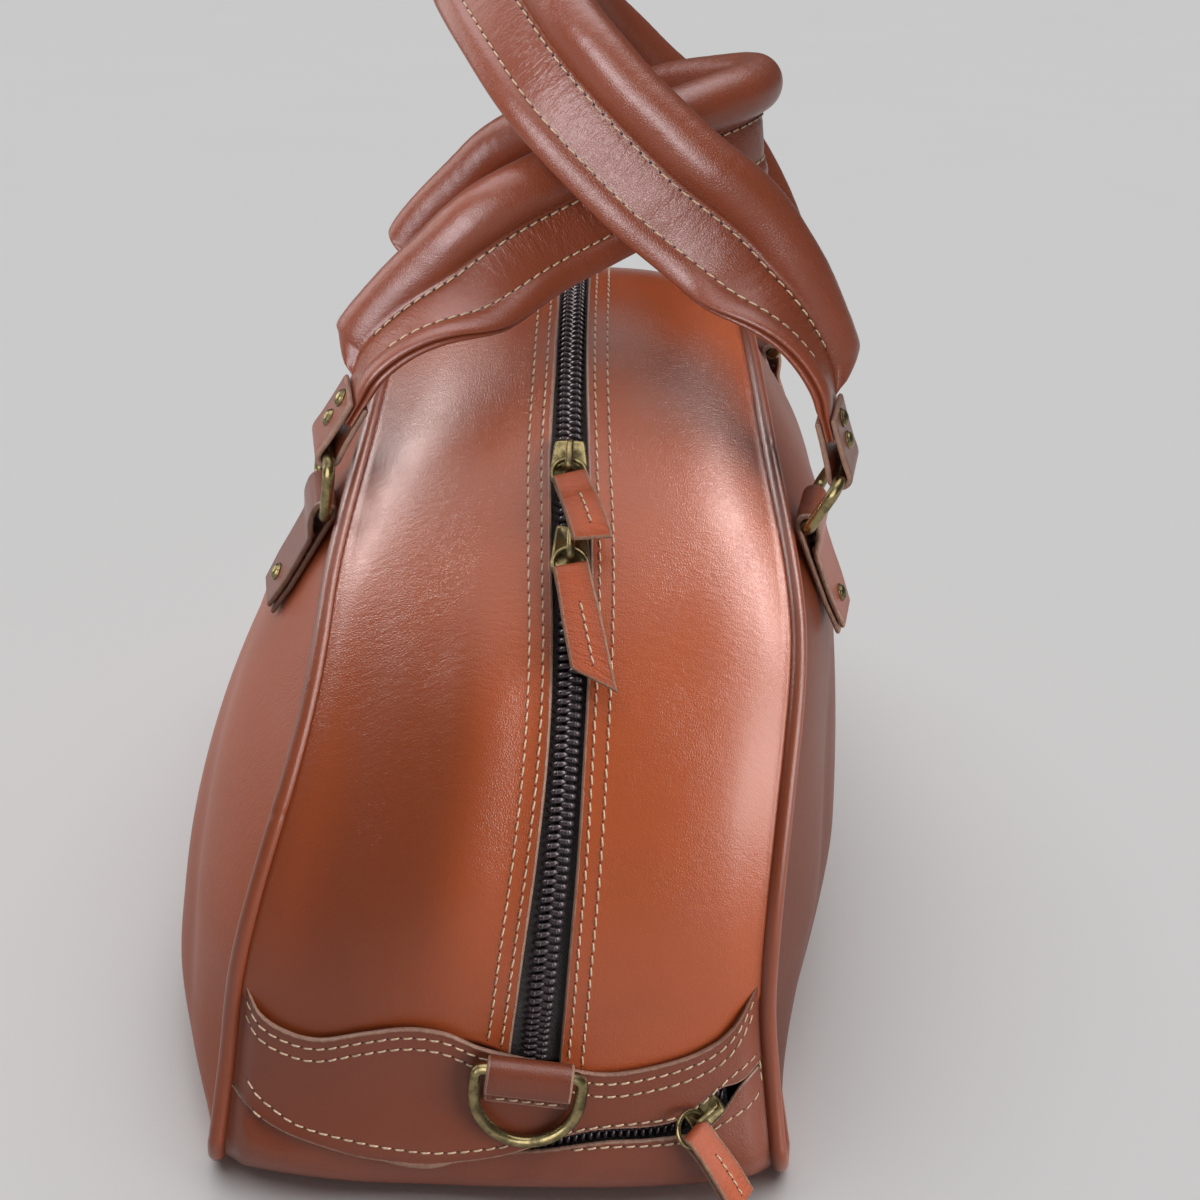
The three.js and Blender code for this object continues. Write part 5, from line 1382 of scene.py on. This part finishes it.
class PullStep(bpy.types.Operator):
    """Makes the three leather zip pulls with their middle row of thread"""

    bl_idname = "bag.pulls"
    bl_label = "Zip pulls"

    def execute(self, context):
        for key in SLIDER_Z:
            pull(context, key, slider_frame(key))
        f, centre = pocket_hang()
        hang = {"up": f["across"], "out": f["out"], "across": f["up"]}
        hang["origin"] = centre - f["across"] * PULL_RING_R
        hang["origin"] = place(hang, RING_HANG + 2 * PULL_RING_R, -BAIL_Z, 0)
        pull(context, "pocket", hang)
        return {"FINISHED"}


class DRingStep(bpy.types.Operator):
    """Makes the two D-rings, each on its own body, and the leather tabs round their bars"""

    bl_idname = "bag.d_rings"
    bl_label = "D-rings"

    def execute(self, context):
        sizes = context.scene.bag_sizes
        a = np.linspace(0, np.pi, 41)
        bow = np.stack([-D_ARM - D_HALF * np.sin(a), D_HALF * np.cos(a)], -1)
        plan = np.concatenate([
            [(0, -D_JOIN), (0, D_HALF - D_CORNER), (-D_CORNER, D_HALF)], bow,
            [(-D_CORNER, -D_HALF), (0, D_CORNER - D_HALF), (0, -D_JOIN)]])
        d = eased(plan, 0.6, 1.2)[:-1]
        folds = np.concatenate([
            [(-13, -BAR_LOOP), (-4, -BAR_LOOP)], arc(BAR_LOOP, 0, np.pi),
            [(-3.5, BAR_LOOP - 0.3), (-7.4, BAR_LOOP - 1.5)]])
        for name, end in ENDS.items():
            f = d_frame(end)
            low, high = np.sin(f["lean"]), np.cos(f["lean"])
            ring, tab, sewn = Cut(), Cut(), Thread(sizes)
            path = place(f, d[:, 0] * high, -d[:, 0] * low, d[:, 1])
            wire(ring, path, sizes.ring_wire / MM, f["up"] * low + f["out"] * high, sides=20)
            ring.make_brass(f"d_ring_{name}", f"d_ring_{name}")
            surface, long, _ = strip(tab, f, folds, sizes.hide / MM, lambda up: D_TAB_HALF + 0 * up)
            tab.make(f"d_ring_tab_{name}_leather", "boot_leather", [f"d_ring_tab_{name}"])
            v = np.linspace(-0.86, 0.86, 60)
            sewn.row(*on_surface(surface, 1.7 / long + 0 * v, v))
            sewn.make(f"d_ring_tab_{name}")
        return {"FINISHED"}


def rivet(cut, f, up, out):
    """Domed rivet cap: a low rim and a round dome, turned."""
    a, r, rim = np.linspace(0, np.pi / 2, 9), RIVET_R, 0.55
    dome = np.stack([0.86 * r * np.cos(a), rim + (RIVET_TALL - rim) * np.sin(a)], -1)
    profile = np.concatenate([[(0, 0), (0.96 * r, 0), (r, 0.15), (r, 0.4), (0.94 * r, rim)], dome])
    profile[-1, 0] = 0
    turned(cut, place(f, up, out, 0), f["out"], profile)


def anchor_strap(sizes, f, label):
    """Strap of an anchor: folded round the ring's lower bar, and sewn through both layers along its edges."""
    back = -BAR_LOOP
    front = back + LAYER_STEP
    path = np.concatenate([
        [(-ANCHOR_LONG, back), (-ANCHOR_LONG / 2, back), (-5, back)], arc(BAR_LOOP, 0, np.pi),
        [(-5, BAR_LOOP - 0.8), (-11, front + 0.3), (-ANCHOR_LONG / 2, front), (2 - ANCHOR_LONG, front)]])
    cut, sewn = Cut(), Thread(sizes)
    half = lambda up: ANCHOR_HALF - 2.5 * smooth(-up, 28, ANCHOR_LONG)
    surface, long, wide = strip(cut, f, path, sizes.hide / MM, half)
    cut.make(f"anchor_{label}_leather", "handle_leather", [f"anchor_{label}"])
    u, v = np.linspace(1 - 3 / long, 1 - 33 / long, 90), np.linspace(-0.78, 0.78, 60)
    for side in (-1, 1):
        sewn.row(*on_surface(surface, u, side * (1 - 2.4 / wide(u))), pitch=SMALL_PITCH)
    sewn.row(*on_surface(surface, 1 - (33 + 3.5 * (1 - v * v)) / long, v), pitch=SMALL_PITCH)
    return sewn


def handle_ring(cut, f, wire_r):
    """Handle ring: a rectangle of wire with round corners, standing on its lower bar."""
    wide, high, c = RING_HALF - RING_CORNER, RING_TALL - RING_CORNER, RING_CORNER
    a = np.linspace(0, np.pi / 2, 13)
    bend = lambda across, up, start: np.stack([up + c * np.sin(a + start), across + c * np.cos(a + start)], -1)
    d = np.concatenate([
        bend(wide, c, -np.pi / 2), bend(wide, high, 0), bend(-wide, high, np.pi / 2), bend(-wide, c, np.pi)])
    wire(cut, place(f, d[:, 0], 0 * d[:, 0], d[:, 1]), wire_r, f["out"], sides=20)


class AnchorStep(bpy.types.Operator):
    """Makes the four handle anchors with their rings, rivets and edge stitching"""

    bl_idname = "bag.anchors"
    bl_label = "Anchors and rings"

    def execute(self, context):
        sizes = context.scene.bag_sizes
        for key in SIDE:
            handle = Handle(key)
            for name in ENDS:
                f, label, ring, cap = handle.anchors[name], f"{key}_{name}", Cut(), Cut()
                sewn = anchor_strap(sizes, f, label)
                handle_ring(ring, handle.rings[name], sizes.ring_wire / MM)
                ring.make_brass(f"handle_ring_{label}")
                rivet(cap, f, 11 - ANCHOR_LONG, LAYER_STEP - BAR_LOOP + sizes.hide / MM / 2)
                cap.make_brass(f"anchor_rivet_{label}")
                sewn.make(f"anchor_{label}")
        return {"FINISHED"}


def strap_end(sizes, f, label):
    """Strap end: folded round the ring's upper bar and over both faces of the strap, with two rivets."""
    hide = sizes.hide / MM
    skin = STRAP_CORE_HALF + GAP + hide / 2
    path = np.concatenate([
        [(STRAP_END_LONG, skin), (14, skin), (5, BAR_LOOP - 0.5)], arc(BAR_LOOP, np.pi, 2 * np.pi),
        [(5, 0.5 - BAR_LOOP), (14, -skin), (STRAP_END_LONG, -skin)]])
    end = Cut()
    strip(end, f, path, hide, lambda up: STRAP_END_HALF + 0 * up)
    end.make(f"strap_end_{label}_leather", "handle_leather", [f"strap_end_{label}"], slot="handle_leather")
    for spot, up in (("low", 8.5), ("high", 16.5)):
        cap = Cut()
        rivet(cap, f, up, STRAP_CORE_HALF + hide + GAP)
        cap.make_brass(f"rivet_{spot}_{label}")


class HandleStep(bpy.types.Operator):
    """Makes the two padded handles: folded lips, a wrinkled web and a full roll, with two rows of thread on
    both faces, and the strap ends riveted round the rings"""

    bl_idname = "bag.handles"
    bl_label = "Handles"

    def execute(self, context):
        sizes = context.scene.bag_sizes
        section = strap_section(sizes.roll / MM)
        w, t, around = section[:, 0][None], section[:, 1][None], run_along(section)[None]
        on_roll = smooth(w, 3.2, 9)
        for key in SIDE:
            handle = Handle(key)
            run = np.linspace(0, handle.long, 430)[:, None]
            wave = np.sin(run * 1.13 + 0.9 * np.sin(run * 0.31) + 0.35 * w) * np.sin(run * 0.171 + 2 + 0.05 * w)
            web = smooth(w, -13, -9) * (1 - smooth(w, 0, 3)) * WEB_WAVE * wave * np.sign(t)
            slow, quick, ripple = ROLL_SWELL
            swell = slow * np.sin(run * 0.085 + 1) + quick * np.sin(run * 0.21 + w * 0.2) + ripple * wave
            lump = 1 + on_roll * swell
            swelled = ROLL_CENTRE + (w - ROLL_CENTRE) * mix(1, lump, on_roll)
            points = handle.surface(run, swelled, t * lump + web)
            creased = mix(ROLL_CREASED, WEB_CREASED, smooth(w, -12, -4) * (1 - smooth(w, 1.5, 4)))
            creased = creased * (0.75 + 0.35 * np.sin(run * 0.05 + 1.3))
            cut, sewn = Cut(), Thread(sizes)
            cut.grid(points, np.stack(np.broadcast_arrays(run, around), -1), crease=creased)
            for k in (0, -1):
                cut.grid(np.stack([points[k], np.broadcast_to(points[k].mean(0), points[k].shape)]))
            node = f"handle_{key}"
            strap = cut.make(f"{node}_leather", "handle_leather", [node], slot="handle_leather")
            d = np.linspace(24, handle.long - 24, 900)
            for wide, high in HANDLE_ROWS:
                for face in (-1, 1):
                    path = handle.surface(d, wide, face * high)
                    sewn.row(path, handle.surface(d, wide, face * (high + 1)) - path)
            sewn.make(f"handle_{key}", slot="handle_leather")
            for name in ENDS:
                strap_end(sizes, handle.end_frame(name), f"{key}_{name}")
        return {"FINISHED"}


def posed(right, up, back, spot):
    """Place of a camera or light that looks against its back direction from a spot."""
    pose = np.eye(4)
    pose[:3, :3], pose[:3, 3] = np.stack([right, up, back], 1), spot
    return Matrix(pose.tolist())


def set_camera(scene, lens):
    """Camera fitted to the seams, zip and rings of the bag."""
    camera = bpy.data.cameras.new("camera")
    camera.lens, camera.sensor_width, camera.clip_start = lens, CAMERA_WIDE, 0.01
    camera.shift_x, camera.shift_y = CAMERA_SHIFT
    seen = bpy.data.objects.new("camera", camera)
    seen.matrix_world = posed(*unit(CAMERA_AXES), np.array(CAMERA_SPOT) * MM)
    scene.collection.objects.link(seen)
    scene.camera = seen


def lay_floor(scene, colour):
    """Wide pale floor that reaches beyond the picture."""
    mesh = bpy.data.meshes.new("floor")
    mesh.from_pydata([(-14, -9, 0), (6, -9, 0), (6, 9, 0), (-14, 9, 0)], [], [(0, 1, 2, 3)])
    floor = bpy.data.objects.new("floor", mesh)
    scene.collection.objects.link(floor)
    paper, tree, shader, at = new_finish("floor_paper")
    worn = noise(tree, at, 3.0)
    tree.links.new(shades(tree, colour, scaled(colour, 0.97), worn), shader.inputs["Base Color"])
    shader.inputs["Roughness"].default_value = 0.9
    shader.inputs["Specular IOR Level"].default_value = 0.1
    mesh.materials.append(paper)


def hang_lights(scene, stage):
    """Soft suns, and windows that show in the gloss alone; each falls on the groups of pieces that it is
    linked to."""
    shown = {key: bpy.data.collections.new(key) for key in LIT_GROUPS}
    window, on_handle = stage.window, stage.handle_window
    for name, spot, along, strength, wide, only in (
            ("top_light", (-0.1, 0.0, 1.0), UP, stage.top, 70, None),
            ("right_light", (0.45, 0.85, 0.2), UP, stage.right, 45, ("end_lit",)),
            ("left_light", (-0.35, -0.85, 0.4), UP, stage.left, 45, LIT_GROUPS),
            ("handle_light", (0.9, -0.3, 0.3), UP, stage.handle, 60, ("handle_lit", "brass_lit")),
            ("left_window", (-0.06, -0.62, 0.76), (0.743, -0.557, -0.371), 0.9 * window, (1.25, 0.3), BODY_LIT),
            ("right_window", (0.14, 0.64, 0.75), (0.704, 0.535, -0.465), 0.85 * window, (1.05, 0.38), BODY_LIT),
            ("handle_window", (0.86, -0.34, 0.3), (0.28, 0.4, -0.5), on_handle, (1.5, 0.6), ("handle_lit",)),
            ("handle_skylight", (-0.15, -0.1, 0.98), (0, 1, 0), 0.5 * on_handle, (1.6, 0.9), ("handle_lit",))):
        soft_sun = np.isscalar(wide)
        lamp = bpy.data.lights.new(name, "SUN" if soft_sun else "AREA")
        lamp.energy = strength
        light = bpy.data.objects.new(name, lamp)
        if soft_sun:
            lamp.angle = np.radians(wide)
        else:
            lamp.shape, lamp.size, lamp.size_y = "RECTANGLE", *wide
            lamp.color = COOL if "handle" in name else WARM
            light.visible_diffuse = False
        back = unit(spot)
        side = unit(np.array(along) - back * (back @ along))
        light.matrix_world = posed(side, np.cross(back, side), back, LIGHT_FAR * back + LIGHT_OVER)
        if only:
            lit = bpy.data.collections.new(f"{name}_on")
            for key in only:
                lit.children.link(shown[key])
            light.light_linking.receiver_collection = lit
            if not soft_sun:
                light.light_linking.blocker_collection = lit
        scene.collection.objects.link(light)


def set_world(scene, stage):
    """Even light from all round, and a paler wall where the camera looks past the floor."""
    world = bpy.data.worlds.new("studio")
    world.use_nodes = True
    tree = world.node_tree
    seen_sky = shades(tree, stage.sky, stage.backdrop, add(tree, "LightPath").outputs["Is Camera Ray"])
    tree.links.new(seen_sky, tree.nodes["Background"].inputs[0])
    scene.world = world


class StageStep(bpy.types.Operator):
    """Sets the camera, then the pale floor and the soft lights"""

    bl_idname = "bag.stage"
    bl_label = "Stage"

    def execute(self, context):
        scene, stage = context.scene, context.scene.bag_stage
        set_camera(scene, stage.lens)
        lay_floor(scene, stage.floor)
        hang_lights(scene, stage)
        set_world(scene, stage)
        scene.view_settings.view_transform = "Standard"
        return {"FINISHED"}


class BagPanel(bpy.types.Panel):
    """Lists the settings and the steps in order"""

    bl_idname = "VIEW3D_PT_bowler_bag"
    bl_label = "Bowler bag"
    bl_space_type = "VIEW_3D"
    bl_region_type = "UI"
    bl_category = "Bowler bag"

    def draw(self, context):
        for group in (context.scene.bag_sizes, context.scene.bag_colours, context.scene.bag_stage):
            box = self.layout.box()
            for key in group.__annotations__:
                box.prop(group, key)
        for step in STEPS:
            self.layout.operator(step.bl_idname)


STEPS = (StageStep, PanelStep, GussetStep, BootStep, PipingStep, MainZipStep, PocketZipStep, SliderStep,
         PullStep, DRingStep, AnchorStep, HandleStep)
CLASSES = (BagSizes, BagColours, StageSettings, *STEPS, BagPanel)


def register():
    """Adds the settings, the steps and the panel to Blender."""
    for each in CLASSES:
        bpy.utils.register_class(each)
    bpy.types.Scene.bag_sizes = bpy.props.PointerProperty(type=BagSizes)
    bpy.types.Scene.bag_colours = bpy.props.PointerProperty(type=BagColours)
    bpy.types.Scene.bag_stage = bpy.props.PointerProperty(type=StageSettings)


def unregister():
    """Takes them out again."""
    del bpy.types.Scene.bag_stage, bpy.types.Scene.bag_colours, bpy.types.Scene.bag_sizes
    for each in reversed(CLASSES):
        bpy.utils.unregister_class(each)


def main():
    """Runs the steps in order."""
    register()
    for run_step in (
            bpy.ops.bag.stage, bpy.ops.bag.panels, bpy.ops.bag.gussets, bpy.ops.bag.boots, bpy.ops.bag.piping,
            bpy.ops.bag.main_zip, bpy.ops.bag.pocket_zip, bpy.ops.bag.sliders, bpy.ops.bag.pulls,
            bpy.ops.bag.d_rings, bpy.ops.bag.anchors, bpy.ops.bag.handles):
        run_step()


if __name__ == "__main__":
    main()
